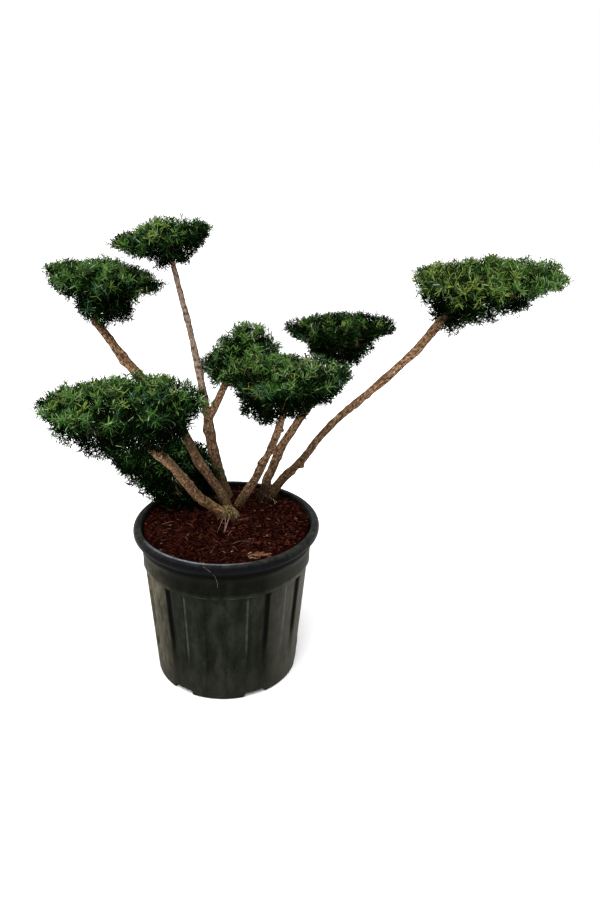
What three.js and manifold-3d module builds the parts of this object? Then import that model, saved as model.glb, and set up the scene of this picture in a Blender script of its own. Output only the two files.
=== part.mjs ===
// A cloud-pruned yew in a round black nursery pot.
// Several bare stems rise out of the bark mulch from two mossy feet, lean outward, and each carries
// one clipped, dense mass of needles. Millimetres, +Z up, the origin under the middle of the pot.
// Directions round the pot are counted from -Y, the front, towards +X.

import * as THREE from 'three';
import { mergeVertices } from 'three/addons/utils/BufferGeometryUtils.js';
import Module from 'manifold-3d';

const wasm = await Module();
wasm.setup();

// Driving dimensions of the pot
const POT_HEIGHT = 420;
const RIM_RADIUS = 255;
const RIM_ROLL = 10;
const LIP_RADIUS = 234;
const BAND_RADIUS = 232;
const LEDGE_HEIGHT = 315;
const LEDGE_STEP = 5;
const WALL_TOP_RADIUS = 226;
const FOOT_RADIUS = 191;
const FOOT_CORNER = 8;
const WALL_THICKNESS = 11;
const FLOOR_DISC_RADIUS = 150;
const FLOOR_THICKNESS = 5;
const CHANNEL_HEIGHT = 17;
const SKIRT_INNER_RADIUS = 182;
const FLUTE_COUNT = 12;
const FLUTE_DEPTH = 7;
const FLUTE_FIRST_ANGLE = -33.3;
const FLUTE_FLAT_ANGLE = 6.2;
const FLUTE_EDGE_ANGLE = 9;
const FLUTE_LOW_END = 62;
const FLUTE_LOW_FULL = 95;
const NOTCH_COUNT = 6;
const NOTCH_FIRST_ANGLE = -33.3;
const NOTCH_WIDTH = 52;
const NOTCH_HEIGHT = 14;

// Driving dimensions of the soil
const SOIL_TOP = 412;
const SOIL_EDGE_DROP = 8;
const SOIL_PLATEAU_RADIUS = 222;

// What the whole plant shares
const GAP = 0.3;
const LIMB_SIDES = 8;
const LIMB_STEP = 48;
const FOOT_SIDES = 14;
const BARE_COLOUR = 0x6b4a3a;
const MOSSY_COLOUR = 0x6f6a45;
const NEEDLE_COLOUR = 0x2f4a22;
const NEEDLE_TIP_COLOUR = 0x4d6a2a;

// Sprays of needles: toothed blades, larger than life, that stand for whole shoots
const SPRAY_LENGTH = 68;
const SPRAY_HALF_WIDTH = 18;
const SPRAY_THICKNESS = 4;
const SPRAY_AREA = 4600;
const SPRAY_CLEARANCE = 7;
const RIM_SPACING = 72;
const CORE_INSET = 24;
const CORE_LIFT = 0.13;
const CORE_SEGMENTS = 18;
const TWIG_RADIUS = 2.2;
const PRIMARY_COUNT = 6;

// The two short trunks: where each stands on the soil, how wide and how tall it is
const FEET = [
  { name: 'foot_left', at: [5, 38], radius: 25, height: 34 },
  { name: 'foot_right', at: [103, 156], radius: 24, height: 38 },
];

// The limbs, foot to tip: through points, and girth, the diameters at shares of the length. A limb
// grows from the soil, from a foot or from another limb, named by "from".
const LIMBS = [
  {
    name: 'stem_front_left', from: 'foot_left', girth: [[0, 26], [1, 24]],
    through: [[8, 24, 412.3], [-16, 14, 436], [-42, 10, 455], [-72, -20, 494], [-98, -60, 551],
      [-117, -100, 600], [-133, -145, 647], [-161, -210, 710]],
  },
  {
    name: 'stem_upper_left', from: 'foot_left', girth: [[0, 27], [0.1, 26], [0.8, 28], [0.88, 24], [1, 24]],
    through: [[4, 50, 412.3], [-11, 52, 457], [-35, 55, 495], [-52, 58, 518], [-85, 66, 564],
      [-114, 75, 620], [-175, 90, 730], [-260, 108, 812], [-300, 118, 853], [-328, 124, 889],
      [-361, 130, 932]],
  },
  {
    name: 'stem_tall', from: 'soil', girth: [[0, 32], [0.34, 30], [0.42, 21], [0.8, 15.5], [1, 13]],
    through: [[-7, 152, 412.3], [-17, 150, 432], [-31, 147, 469], [-51, 138, 561], [-59, 135, 612],
      [-65, 131, 676], [-76, 130, 743], [-85, 130, 795], [-103, 137, 885], [-132, 145, 1006],
      [-157, 160, 1100]],
  },
  {
    name: 'bough_small_round', from: 'stem_tall', girth: [[0, 20], [1, 15]],
    through: [[-62, 131, 662], [-35, 140, 716], [-20, 163, 747]],
  },
  {
    name: 'stem_front_right', from: 'soil', girth: [[0, 23], [0.08, 26], [0.25, 24], [0.5, 19], [1, 20]],
    through: [[26, 104, 412.3], [45, 93, 448], [66, 80, 486], [83, 70, 524], [97, 60, 562],
      [116, 45, 601], [129, 20, 644], [142, -35, 699], [150, -85, 744]],
  },
  {
    name: 'stem_back_right', from: 'foot_right', girth: [[0, 25], [0.4, 22.5], [1, 20]],
    through: [[96, 155, 412.3], [105, 160, 466], [118, 163, 496], [139, 170, 549], [156, 175, 581],
      [178, 180, 614], [200, 187, 646], [223, 200, 676], [266, 225, 714], [313, 250, 762]],
  },
  {
    name: 'stem_long_right', from: 'foot_right',
    girth: [[0, 27], [0.13, 25.5], [0.19, 20], [0.6, 20.5], [1, 24]],
    through: [[114, 156, 412.3], [136, 148, 454], [164, 136, 494], [191, 125, 527], [215, 115, 559],
      [247, 100, 612], [274, 92, 649], [310, 78, 694], [366, 62, 751], [431, 42, 819],
      [474, 28, 868], [512, 12, 914], [552, -10, 977]],
  },
  {
    name: 'stem_low_left', from: 'soil', girth: [[0, 20], [1, 15]],
    through: [[-22, 118, 412.3], [-48, 114, 430], [-88, 106, 435]],
  },
];

// The clipped masses. Each is a lens: "rim" is the middle of its widest level, "across" and "deep"
// the half widths there along X and Y, "dome" the height of its top, "tilt" the lean of the lens
// in degrees, right side up. Its underside runs down to the tip of its bough. The two fullness
// powers bulge the top and the underside.
const MASSES = [
  {
    name: 'mass_top', bough: 'stem_tall', rim: [-187, 170, 1185], across: 147, deep: 130,
    dome: 44, tilt: 9, topFullness: 2.5, lowFullness: 2.0,
  },
  {
    name: 'mass_upper_left', bough: 'stem_upper_left', rim: [-348, 150, 1070], across: 169, deep: 150,
    dome: 46, tilt: -9, topFullness: 2.5, lowFullness: 2.0,
  },
  {
    name: 'mass_small_round', bough: 'bough_small_round', rim: [29, 220, 820], across: 118, deep: 115,
    dome: 112, tilt: 10, topFullness: 2.2, lowFullness: 2.0,
  },
  {
    name: 'mass_front_right', bough: 'stem_front_right', rim: [160, -120, 887], across: 166, deep: 145,
    dome: 26, tilt: 1, topFullness: 3, lowFullness: 2.2,
  },
  {
    name: 'mass_front_left', bough: 'stem_front_left', rim: [-228, -280, 862], across: 204, deep: 165,
    dome: 50, tilt: 1, topFullness: 3, lowFullness: 2.7,
  },
  {
    name: 'mass_back_right', bough: 'stem_back_right', rim: [317, 270, 906], across: 162, deep: 145,
    dome: 24, tilt: 2, topFullness: 3, lowFullness: 1.6,
  },
  {
    name: 'mass_long_right', bough: 'stem_long_right', rim: [692, 0, 1109], across: 210, deep: 165,
    dome: 46, tilt: -0.5, topFullness: 3, lowFullness: 2.0,
  },
  {
    name: 'mass_low_left', bough: 'stem_low_left', rim: [-186, 166, 462], across: 158, deep: 130,
    dome: 116, tilt: -8, topFullness: 2.1, lowFullness: 2.6,
  },
];

const radians = THREE.MathUtils.degToRad;
const vector = (list) => new THREE.Vector3(...list);

// A repeatable stream of numbers from 0 to 1.
function seeded(seed) {
  let state = seed >>> 0;
  return () => {
    state = (state + 0x6d2b79f5) >>> 0;
    let mixed = Math.imul(state ^ (state >>> 15), 1 | state);
    mixed = (mixed + Math.imul(mixed ^ (mixed >>> 7), 61 | mixed)) ^ mixed;
    return ((mixed ^ (mixed >>> 14)) >>> 0) / 4294967296;
  };
}

// A closed geometry from corner points and triangles.
function closedGeometry(points, triangles) {
  const geometry = new THREE.BufferGeometry();
  geometry.setAttribute('position', new THREE.Float32BufferAttribute(points.flatMap((p) => p.toArray()), 3));
  geometry.setIndex(triangles.flat());
  return geometry;
}

// Six times the volume that a triangle list encloses, negative where it is inside out.
function signedVolume(positions, triangles) {
  const corner = (index) => new THREE.Vector3().fromArray(positions, 3 * index);
  let total = 0;
  for (let i = 0; i < triangles.length; i += 3) {
    const [a, b, c] = [corner(triangles[i]), corner(triangles[i + 1]), corner(triangles[i + 2])];
    total += a.dot(b.cross(c));
  }
  return total;
}

// A closed geometry as a solid: seams merged, empty triangles dropped, faces turned outward.
function toSolid(geometry) {
  const bare = geometry.clone();
  bare.deleteAttribute('normal');
  bare.deleteAttribute('uv');
  const merged = mergeVertices(bare, 1e-3);
  const index = Array.from(merged.index.array);
  const kept = [];
  for (let i = 0; i < index.length; i += 3) {
    const [a, b, c] = index.slice(i, i + 3);
    if (a !== b && b !== c && c !== a) {
      kept.push(a, b, c);
    }
  }
  const positions = merged.attributes.position.array;
  if (signedVolume(positions, kept) < 0) {
    kept.reverse();
  }
  return new wasm.Manifold(new wasm.Mesh({
    numProp: 3,
    vertProperties: Float32Array.from(positions),
    triVerts: Uint32Array.from(kept),
  }));
}

// The largest single body of a solid: loose scraps and sealed hollows go.
function largestBody(solid) {
  const bodies = solid.decompose();
  bodies.sort((one, other) => other.volume() - one.volume());
  return bodies[0];
}

function toGeometry(solid) {
  const mesh = solid.getMesh();
  const geometry = new THREE.BufferGeometry();
  geometry.setAttribute('position', new THREE.Float32BufferAttribute(Array.from(mesh.vertProperties), 3));
  geometry.setIndex(Array.from(mesh.triVerts));
  return geometry;
}

function joined(solids) {
  return solids.reduce((whole, piece) => whole.add(piece));
}

// The pot

// A ring turned round the Z axis from [radius, height] points, with its own angles per segment.
function turned(profile, angles) {
  const points = profile.map(([radius, height]) => new THREE.Vector2(radius, height));
  const geometry = new THREE.LatheGeometry(points, angles.length);
  geometry.rotateX(Math.PI / 2);
  const position = geometry.attributes.position;
  for (let i = 0; i < position.count; i += 1) {
    const column = Math.floor(i / points.length) % angles.length;
    const radius = Math.hypot(position.getX(i), position.getY(i));
    const angle = radians(angles[column]);
    position.setXY(i, radius * Math.sin(angle), -radius * Math.cos(angle));
  }
  return geometry;
}

// Segment angles that put two columns on each side of every flute.
function fluteAngles() {
  const period = 360 / FLUTE_COUNT;
  const offsets = [-FLUTE_EDGE_ANGLE, -FLUTE_FLAT_ANGLE, FLUTE_FLAT_ANGLE, FLUTE_EDGE_ANGLE];
  const angles = [];
  for (let flute = 0; flute < FLUTE_COUNT; flute += 1) {
    offsets.forEach((offset) => angles.push(FLUTE_FIRST_ANGLE + flute * period + offset));
  }
  return angles;
}

// How much of a flute's full depth the wall has at a height.
function fluteShare(height) {
  if (height > LEDGE_HEIGHT || height < FLUTE_LOW_END) {
    return 0;
  }
  return Math.min(1, (height - FLUTE_LOW_END) / (FLUTE_LOW_FULL - FLUTE_LOW_END));
}

// The outer radius of the plain wall below the ledge.
function wallRadius(height) {
  const share = (height - FOOT_CORNER) / (LEDGE_HEIGHT - FOOT_CORNER);
  return FOOT_RADIUS + 1 + (WALL_TOP_RADIUS - FOOT_RADIUS - 1) * share;
}

// The inside of the pot from the middle of the floor to the lip, moved in by a clearance.
function innerProfile(clearance) {
  const floor = FLOOR_THICKNESS + clearance;
  const channel = CHANNEL_HEIGHT + FLOOR_THICKNESS + clearance;
  return [
    [0, floor],
    [FLOOR_DISC_RADIUS - 5 - clearance, floor],
    [FLOOR_DISC_RADIUS - 1 - clearance, channel],
    [wallRadius(channel) - WALL_THICKNESS - clearance, channel],
    [WALL_TOP_RADIUS - WALL_THICKNESS - clearance, LEDGE_HEIGHT - 2],
    [LIP_RADIUS - 3 - clearance, SOIL_TOP - SOIL_EDGE_DROP],
  ];
}

function potOutline() {
  const rollCentre = POT_HEIGHT - RIM_ROLL;
  const outside = [
    [0, 0],
    [FLOOR_DISC_RADIUS, 0],
    [FLOOR_DISC_RADIUS + 4, CHANNEL_HEIGHT],
    [SKIRT_INNER_RADIUS, CHANNEL_HEIGHT],
    [SKIRT_INNER_RADIUS + 2, 0],
    [FOOT_RADIUS - 2, 0],
    [wallRadius(FOOT_CORNER), FOOT_CORNER],
    [wallRadius(FLUTE_LOW_END), FLUTE_LOW_END],
    [wallRadius(FLUTE_LOW_FULL), FLUTE_LOW_FULL],
    [WALL_TOP_RADIUS, LEDGE_HEIGHT],
    [BAND_RADIUS, LEDGE_HEIGHT + LEDGE_STEP],
    [BAND_RADIUS + 3, LEDGE_HEIGHT + 48],
    [BAND_RADIUS + 10, LEDGE_HEIGHT + 66],
    [RIM_RADIUS - 4, rollCentre - 9],
    [RIM_RADIUS, rollCentre - 3],
    [RIM_RADIUS, rollCentre + 5],
    [RIM_RADIUS - 5, POT_HEIGHT],
    [LIP_RADIUS + 3, POT_HEIGHT],
    [LIP_RADIUS, POT_HEIGHT - 4],
  ];
  return outside.concat(innerProfile(0).reverse());
}

function notchCutter(angle) {
  const outline = new THREE.Shape();
  outline.moveTo(-NOTCH_WIDTH / 2, -1);
  outline.lineTo(NOTCH_WIDTH / 2, -1);
  outline.lineTo(NOTCH_WIDTH / 2 - 6, NOTCH_HEIGHT);
  outline.lineTo(6 - NOTCH_WIDTH / 2, NOTCH_HEIGHT);
  const cutter = new THREE.ExtrudeGeometry(outline, { depth: 26, bevelEnabled: false });
  cutter.rotateX(Math.PI / 2);
  cutter.translate(0, 10 - SKIRT_INNER_RADIUS, 0);
  cutter.rotateZ(radians(angle));
  return toSolid(cutter);
}

function potGeometry() {
  const angles = fluteAngles();
  const outline = potOutline();
  const shell = turned(outline, angles);
  const position = shell.attributes.position;
  for (let i = 0; i < position.count; i += 1) {
    const [x, y, height] = [position.getX(i), position.getY(i), position.getZ(i)];
    const radius = Math.hypot(x, y);
    const column = Math.floor(i / outline.length) % angles.length;
    const inFlute = column % 4 === 1 || column % 4 === 2;
    const onOuterWall = radius > wallRadius(height) - 1;
    if (inFlute && onOuterWall) {
      const share = (radius - FLUTE_DEPTH * fluteShare(height)) / radius;
      position.setXY(i, x * share, y * share);
    }
  }
  let pot = toSolid(shell);
  for (let notch = 0; notch < NOTCH_COUNT; notch += 1) {
    pot = pot.subtract(notchCutter(NOTCH_FIRST_ANGLE + (notch * 360) / NOTCH_COUNT));
  }
  return toGeometry(largestBody(pot));
}

function soilGeometry() {
  const outline = innerProfile(GAP).concat([[SOIL_PLATEAU_RADIUS, SOIL_TOP], [0, SOIL_TOP]]);
  return toGeometry(toSolid(turned(outline, fluteAngles())));
}

// Feet and limbs

// A foot is a mound that flares to the soil: its rings stand on a flat cut.
function footSolid(foot, clearance) {
  const base = SOIL_TOP + GAP;
  const shape = [[1.12, 0], [0.98, 0.18], [0.86, 0.45], [0.68, 0.75], [0.36, 0.95], [0, 1]];
  const outline = shape.map(([wide, high]) => [
    wide > 0 ? wide * foot.radius + clearance : 0,
    base - (high === 0 ? clearance : 0) + high * (foot.height + clearance),
  ]);
  outline.unshift([0, outline[0][1]]);
  const angles = Array.from({ length: FOOT_SIDES }, (_, side) => (side * 360) / FOOT_SIDES);
  const mound = turned(outline, angles);
  mound.translate(foot.at[0], foot.at[1], 0);
  return toSolid(mound);
}

function limbCurve(limb) {
  return new THREE.CatmullRomCurve3(limb.through.map(vector), false, 'centripetal');
}

// The radius a limb has at a share of its length, from girth to girth.
function limbRadius(limb, share) {
  const next = Math.max(1, limb.girth.findIndex(([place]) => place >= share));
  const [[before, thick], [after, thin]] = limb.girth.slice(next - 1, next + 1);
  return 0.5 * (thick + ((thin - thick) * (share - before)) / (after - before));
}

// A tapering tube through rings of corners. Its foot is cut flat at the soil where it starts there.
function tube(curve, radiusAt, clearance, flatFoot) {
  const length = curve.getLength();
  const steps = Math.max(3, Math.round(length / LIMB_STEP));
  const frames = curve.computeFrenetFrames(steps, false);
  const points = [];
  const triangles = [];
  for (let ring = 0; ring <= steps; ring += 1) {
    const share = ring / steps;
    const centre = curve.getPointAt(share);
    const radius = radiusAt(share) + clearance;
    for (let side = 0; side < LIMB_SIDES; side += 1) {
      const angle = (2 * Math.PI * side) / LIMB_SIDES;
      const corner = centre.clone()
        .addScaledVector(frames.normals[ring], radius * Math.cos(angle))
        .addScaledVector(frames.binormals[ring], radius * Math.sin(angle));
      if (ring === 0 && flatFoot) {
        const slope = frames.tangents[0];
        corner.addScaledVector(slope, (centre.z - corner.z) / slope.z);
      }
      points.push(corner);
    }
  }
  for (let ring = 0; ring < steps; ring += 1) {
    for (let side = 0; side < LIMB_SIDES; side += 1) {
      const next = (side + 1) % LIMB_SIDES;
      const [a, b] = [ring * LIMB_SIDES + side, ring * LIMB_SIDES + next];
      triangles.push([a, b, b + LIMB_SIDES], [a, b + LIMB_SIDES, a + LIMB_SIDES]);
    }
  }
  const last = steps * LIMB_SIDES;
  for (let side = 1; side < LIMB_SIDES - 1; side += 1) {
    triangles.push([0, side + 1, side], [last, last + side, last + side + 1]);
  }
  return toSolid(closedGeometry(points, triangles));
}

function limbSolid(limb, clearance) {
  return tube(limbCurve(limb), (share) => limbRadius(limb, share), clearance, clearance === 0);
}

// A limb as a row of balls, for telling how far a point is from its bark.
function limbBalls(limb) {
  const curve = limbCurve(limb);
  const count = Math.ceil(curve.getLength() / 12);
  return Array.from({ length: count + 1 }, (_, i) => ({
    centre: curve.getPointAt(i / count),
    radius: limbRadius(limb, i / count),
  }));
}

// Masses

// The end of a mass's bough, and the way it points there.
function boughTip(mass) {
  const curve = limbCurve(LIMBS.find((limb) => limb.name === mass.bough));
  return { point: curve.getPointAt(1), way: curve.getTangentAt(1) };
}

// A point of the lens's skin: "ring" is 0 in the middle and 1 at the rim, "turn" runs round it.
function skinPoint(mass, tip, ring, turn, onTop) {
  const rim = vector(mass.rim);
  const lean = Math.sin(radians(mass.tilt));
  const x = mass.across * Math.cos(turn);
  const y = mass.deep * Math.sin(turn);
  if (onTop) {
    const height = mass.dome * (1 - ring ** mass.topFullness);
    return new THREE.Vector3(rim.x + ring * x, rim.y + ring * y, rim.z + height + ring * x * lean);
  }
  const foot = tip.clone().sub(rim);
  const low = (foot.z - foot.x * lean) * (1 - ring ** mass.lowFullness);
  const px = foot.x + (x - foot.x) * ring;
  const py = foot.y + (y - foot.y) * ring;
  return new THREE.Vector3(rim.x + px, rim.y + py, rim.z + low + px * lean);
}

// The way the skin faces there, from two nearby points.
function skinNormal(mass, tip, ring, turn, onTop) {
  const step = 0.02;
  const here = skinPoint(mass, tip, ring, turn, onTop);
  const inward = skinPoint(mass, tip, Math.max(ring - step, 0.01), turn, onTop);
  const round = skinPoint(mass, tip, ring, turn + step, onTop);
  const normal = here.clone().sub(inward).cross(round.sub(here)).normalize();
  const outward = onTop ? 1 : -1;
  return normal.z * outward < 0 ? normal.negate() : normal;
}

// True where a point lies in a lens grown by a margin.
function insideMass(mass, tip, point, margin) {
  const rim = vector(mass.rim);
  const lean = Math.sin(radians(mass.tilt));
  const [x, y] = [point.x - rim.x, point.y - rim.y];
  const z = point.z - rim.z - x * lean;
  const across = mass.across + margin;
  const deep = mass.deep + margin;
  const ring = Math.hypot(x / across, y / deep);
  if (ring >= 1 || z > mass.dome * (1 - ring ** mass.topFullness) + margin) {
    return false;
  }
  const foot = tip.clone().sub(rim);
  for (let low = 0; low <= 1; low += 0.05) {
    const px = (x - foot.x * (1 - low)) / across;
    const py = (y - foot.y * (1 - low)) / deep;
    if (Math.hypot(px, py) <= low) {
      return z > (foot.z - foot.x * lean) * (1 - low ** mass.lowFullness) - margin;
    }
  }
  return false;
}

// The clipped core: the same lens, smaller, its skin stepped in rings.
function coreSolid(mass, tip) {
  const core = {
    ...mass,
    across: mass.across - CORE_INSET,
    deep: mass.deep - CORE_INSET,
    dome: mass.dome - 0.6 * CORE_INSET,
  };
  const heart = vector(mass.rim);
  const coreTip = tip.clone().lerp(heart, CORE_LIFT);
  const rings = [
    ...[0.45, 0.8].map((ring) => ({ ring, onTop: true })),
    { ring: 1, onTop: true },
    ...[0.85, 0.62, 0.36].map((ring) => ({ ring, onTop: false })),
  ];
  const points = [skinPoint(core, coreTip, 0, 0, true)];
  rings.forEach(({ ring, onTop }) => {
    for (let side = 0; side < CORE_SEGMENTS; side += 1) {
      points.push(skinPoint(core, coreTip, ring, (2 * Math.PI * side) / CORE_SEGMENTS, onTop));
    }
  });
  points.push(skinPoint(core, coreTip, 0.02, 0, false));
  const triangles = [];
  const last = points.length - 1;
  for (let side = 0; side < CORE_SEGMENTS; side += 1) {
    const next = (side + 1) % CORE_SEGMENTS;
    triangles.push([0, 1 + side, 1 + next]);
    for (let row = 0; row < rings.length - 1; row += 1) {
      const [a, b] = [1 + row * CORE_SEGMENTS + side, 1 + row * CORE_SEGMENTS + next];
      triangles.push([a, a + CORE_SEGMENTS, b + CORE_SEGMENTS], [a, b + CORE_SEGMENTS, b]);
    }
    const low = 1 + (rings.length - 1) * CORE_SEGMENTS;
    triangles.push([low + side, last, low + next]);
  }
  return toSolid(closedGeometry(points, triangles));
}

// A three-sided twig that tapers from one point to another.
function twigSolid(from, to, radius) {
  const way = to.clone().sub(from).normalize();
  const across = new THREE.Vector3(0.3, 0.2, 1).cross(way).normalize();
  const other = way.clone().cross(across);
  const points = [];
  [[from, radius], [to, 0.6 * radius]].forEach(([centre, size]) => {
    for (let side = 0; side < 3; side += 1) {
      const angle = (2 * Math.PI * side) / 3;
      points.push(centre.clone()
        .addScaledVector(across, size * Math.cos(angle))
        .addScaledVector(other, size * Math.sin(angle)));
    }
  });
  const walls = [0, 1, 2].flatMap((side) => {
    const next = (side + 1) % 3;
    return [[side, next, next + 3], [side, next + 3, side + 3]];
  });
  return toSolid(closedGeometry(points, [[0, 2, 1], [3, 4, 5], ...walls]));
}

// A spray: a toothed blade, thickest along its middle. "along" is its shoot, "across" its width.
function spraySolid(root, along, across, length) {
  const half = SPRAY_HALF_WIDTH * (length / SPRAY_LENGTH);
  const edge = [[0, 0.2], [0.3, 0.3], [0.5, 1], [0.54, 0.38], [0.82, 0.82]];
  const outline = [
    ...edge,
    [1, 0],
    ...edge.map(([far, wide]) => [far, -wide]).reverse(),
  ];
  const raised = along.clone().cross(across).normalize();
  const middle = root.clone().addScaledVector(along, 0.45 * length);
  const points = outline.map(([far, wide]) => root.clone()
    .addScaledVector(along, far * length)
    .addScaledVector(across, wide * half));
  points.push(middle.clone().addScaledVector(raised, SPRAY_THICKNESS / 2));
  points.push(middle.clone().addScaledVector(raised, -SPRAY_THICKNESS / 2));
  const triangles = [];
  outline.forEach((_, i) => {
    const next = (i + 1) % outline.length;
    triangles.push([i, next, outline.length], [next, i, outline.length + 1]);
  });
  return toSolid(closedGeometry(points, triangles));
}

// Evenly spread places on the skin: a ring of them round the rim, then one by one, each of them
// the one of several tries that is farthest from the rest.
function skinPlaces(mass, tip, random) {
  const depth = vector(mass.rim).z - tip.z;
  const area = Math.PI * mass.across * mass.deep * (1.1 + (0.8 * depth) / mass.across);
  const count = Math.round(area / SPRAY_AREA);
  const topShare = 1.1 / (1.1 + 0.8 * (depth / mass.across) + 0.25);
  const rimCount = Math.round((Math.PI * (mass.across + mass.deep)) / RIM_SPACING);
  const places = Array.from({ length: rimCount }, (_, i) => {
    const turn = (2 * Math.PI * (i + 0.5 * random())) / rimCount;
    const point = skinPoint(mass, tip, 1, turn, true);
    return { point, normal: point.clone().sub(vector(mass.rim)).normalize() };
  });
  while (places.length < count) {
    let best = null;
    for (let tries = 0; tries < 14; tries += 1) {
      const onTop = random() < topShare;
      const ring = onTop ? Math.sqrt(random()) : Math.sqrt(0.12 + 0.88 * random());
      const turn = 2 * Math.PI * random();
      const point = skinPoint(mass, tip, ring, turn, onTop);
      const room = Math.min(1e9, ...places.map((place) => place.point.distanceTo(point)));
      if (best === null || room > best.room) {
        best = { point, room, normal: skinNormal(mass, tip, ring, turn, onTop) };
      }
    }
    places.push(best);
  }
  return places;
}

// A spray stays out of every limb, out of the other masses and above the pot's rim.
function hasRoom(mass, points, limbs, others) {
  return points.every((point) => {
    const clearOfLimbs = limbs.every(({ centre, radius }) => (
      centre.distanceTo(point) > radius + SPRAY_CLEARANCE
    ));
    const clearOfMasses = others.every(({ other, otherTip }) => (
      !insideMass(other, otherTip, point, SPRAY_CLEARANCE)
    ));
    return clearOfLimbs && clearOfMasses && point.z > POT_HEIGHT + SPRAY_CLEARANCE;
  });
}

// One mass: a stem from the bough's tip, primaries that fan out from it by a seeded rule, a twig to
// each spray, and the clipped core that the sprays stand out of.
function massSolid(mass, seed) {
  const random = seeded(seed);
  const { point: tip, way } = boughTip(mass);
  const bough = LIMBS.find((limb) => limb.name === mass.bough);
  const tipRadius = bough.girth.at(-1)[1] / 2;
  const rim = vector(mass.rim);
  const start = tip.clone().addScaledVector(way, GAP);
  const hub = tip.clone().lerp(rim, 0.55);
  const bend = start.clone().addScaledVector(way, 0.3 * hub.distanceTo(start));
  const stemCurve = new THREE.CatmullRomCurve3([start, bend, hub], false, 'centripetal');
  const stem = tube(stemCurve, (share) => tipRadius * (0.96 - 0.5 * share), 0, false);

  const limbs = LIMBS.flatMap(limbBalls);
  const others = MASSES.filter((other) => other !== mass)
    .map((other) => ({ other, otherTip: boughTip(other).point }));
  const pieces = [stem, coreSolid(mass, tip)];
  const primaries = Array.from({ length: PRIMARY_COUNT }, (_, i) => {
    const turn = (2 * Math.PI * (i + 0.4 * random())) / PRIMARY_COUNT;
    const end = skinPoint(mass, tip, 0.7, turn, false).lerp(rim, 0.35);
    const from = stemCurve.getPointAt(0.55 + 0.4 * random());
    pieces.push(twigSolid(from, end, 2 * TWIG_RADIUS));
    return new THREE.Line3(from, end);
  });

  skinPlaces(mass, tip, random).forEach(({ point, normal }) => {
    const outward = point.clone().sub(hub).normalize();
    const jitter = new THREE.Vector3(random() - 0.5, random() - 0.5, random() - 0.5);
    const along = normal.clone().multiplyScalar(0.75)
      .addScaledVector(outward, 0.6)
      .addScaledVector(jitter, 0.7)
      .add(new THREE.Vector3(0, 0, 0.12))
      .normalize();
    const length = SPRAY_LENGTH * (0.85 + 0.3 * random());
    const root = point.clone().addScaledVector(along, -0.9 * length);
    const across = new THREE.Vector3(random() - 0.5, random() - 0.5, random() - 0.5)
      .cross(along).normalize();
    const half = SPRAY_HALF_WIDTH * (length / SPRAY_LENGTH);
    const reach = [
      root.clone().addScaledVector(along, length),
      root.clone().addScaledVector(along, 0.5 * length).addScaledVector(across, half),
      root.clone().addScaledVector(along, 0.5 * length).addScaledVector(across, -half),
    ];
    if (!hasRoom(mass, reach, limbs, others)) {
      return;
    }
    const primary = primaries.reduce((nearest, line) => {
      const gap = line.closestPointToPoint(root, true, new THREE.Vector3()).distanceTo(root);
      return gap < nearest.gap ? { gap, line } : nearest;
    }, { gap: Infinity, line: null });
    const from = primary.line.closestPointToPoint(root, true, new THREE.Vector3());
    const to = root.clone().addScaledVector(along, 0.3 * length);
    pieces.push(twigSolid(from, to, TWIG_RADIUS));
    pieces.push(spraySolid(root, along, across, length));
  });
  return largestBody(joined(pieces).subtract(limbSolid(bough, GAP)));
}

// The plant

function material(colour, roughness) {
  return new THREE.MeshStandardMaterial({ color: colour, roughness, metalness: 0 });
}

function part(name, geometry, look) {
  const mesh = new THREE.Mesh(geometry, look);
  mesh.name = name;
  return mesh;
}

// A limb is cut clear of the foot or limb that it grows from.
function limbGeometry(limb) {
  const whole = limbSolid(limb, 0);
  const foot = FEET.find((each) => each.name === limb.from);
  const parent = LIMBS.find((each) => each.name === limb.from);
  if (foot) {
    return toGeometry(largestBody(whole.subtract(footSolid(foot, GAP))));
  }
  if (parent) {
    return toGeometry(largestBody(whole.subtract(limbSolid(parent, GAP))));
  }
  return toGeometry(whole);
}

function buildPlant() {
  const plant = new THREE.Group();
  plant.add(part('pot', potGeometry(), material(0x1d2120, 0.5)));
  plant.add(part('soil', soilGeometry(), material(0x3b1d15, 0.95)));
  FEET.forEach((foot) => {
    plant.add(part(foot.name, toGeometry(footSolid(foot, 0)), material(MOSSY_COLOUR, 0.9)));
  });
  LIMBS.forEach((limb) => {
    plant.add(part(limb.name, limbGeometry(limb), material(BARE_COLOUR, 0.85)));
  });
  MASSES.forEach((mass, i) => {
    const colour = i % 2 ? NEEDLE_COLOUR : NEEDLE_TIP_COLOUR;
    plant.add(part(mass.name, toGeometry(massSolid(mass, 11 + 7 * i)), material(colour, 0.7)));
  });
  return plant;
}

export default buildPlant();
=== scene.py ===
# A cloud-pruned yew in a round black nursery pot, dressed for the picture.
# Metres, +Z up, the origin under the middle of the pot. Directions round the pot are counted from
# -Y, the front, towards +X. The tables COLLAR, SLIVERS, STRAW, FEET, LIMBS, MASSES and SPRIGS give
# places and sizes in millimetres.
import math

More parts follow.
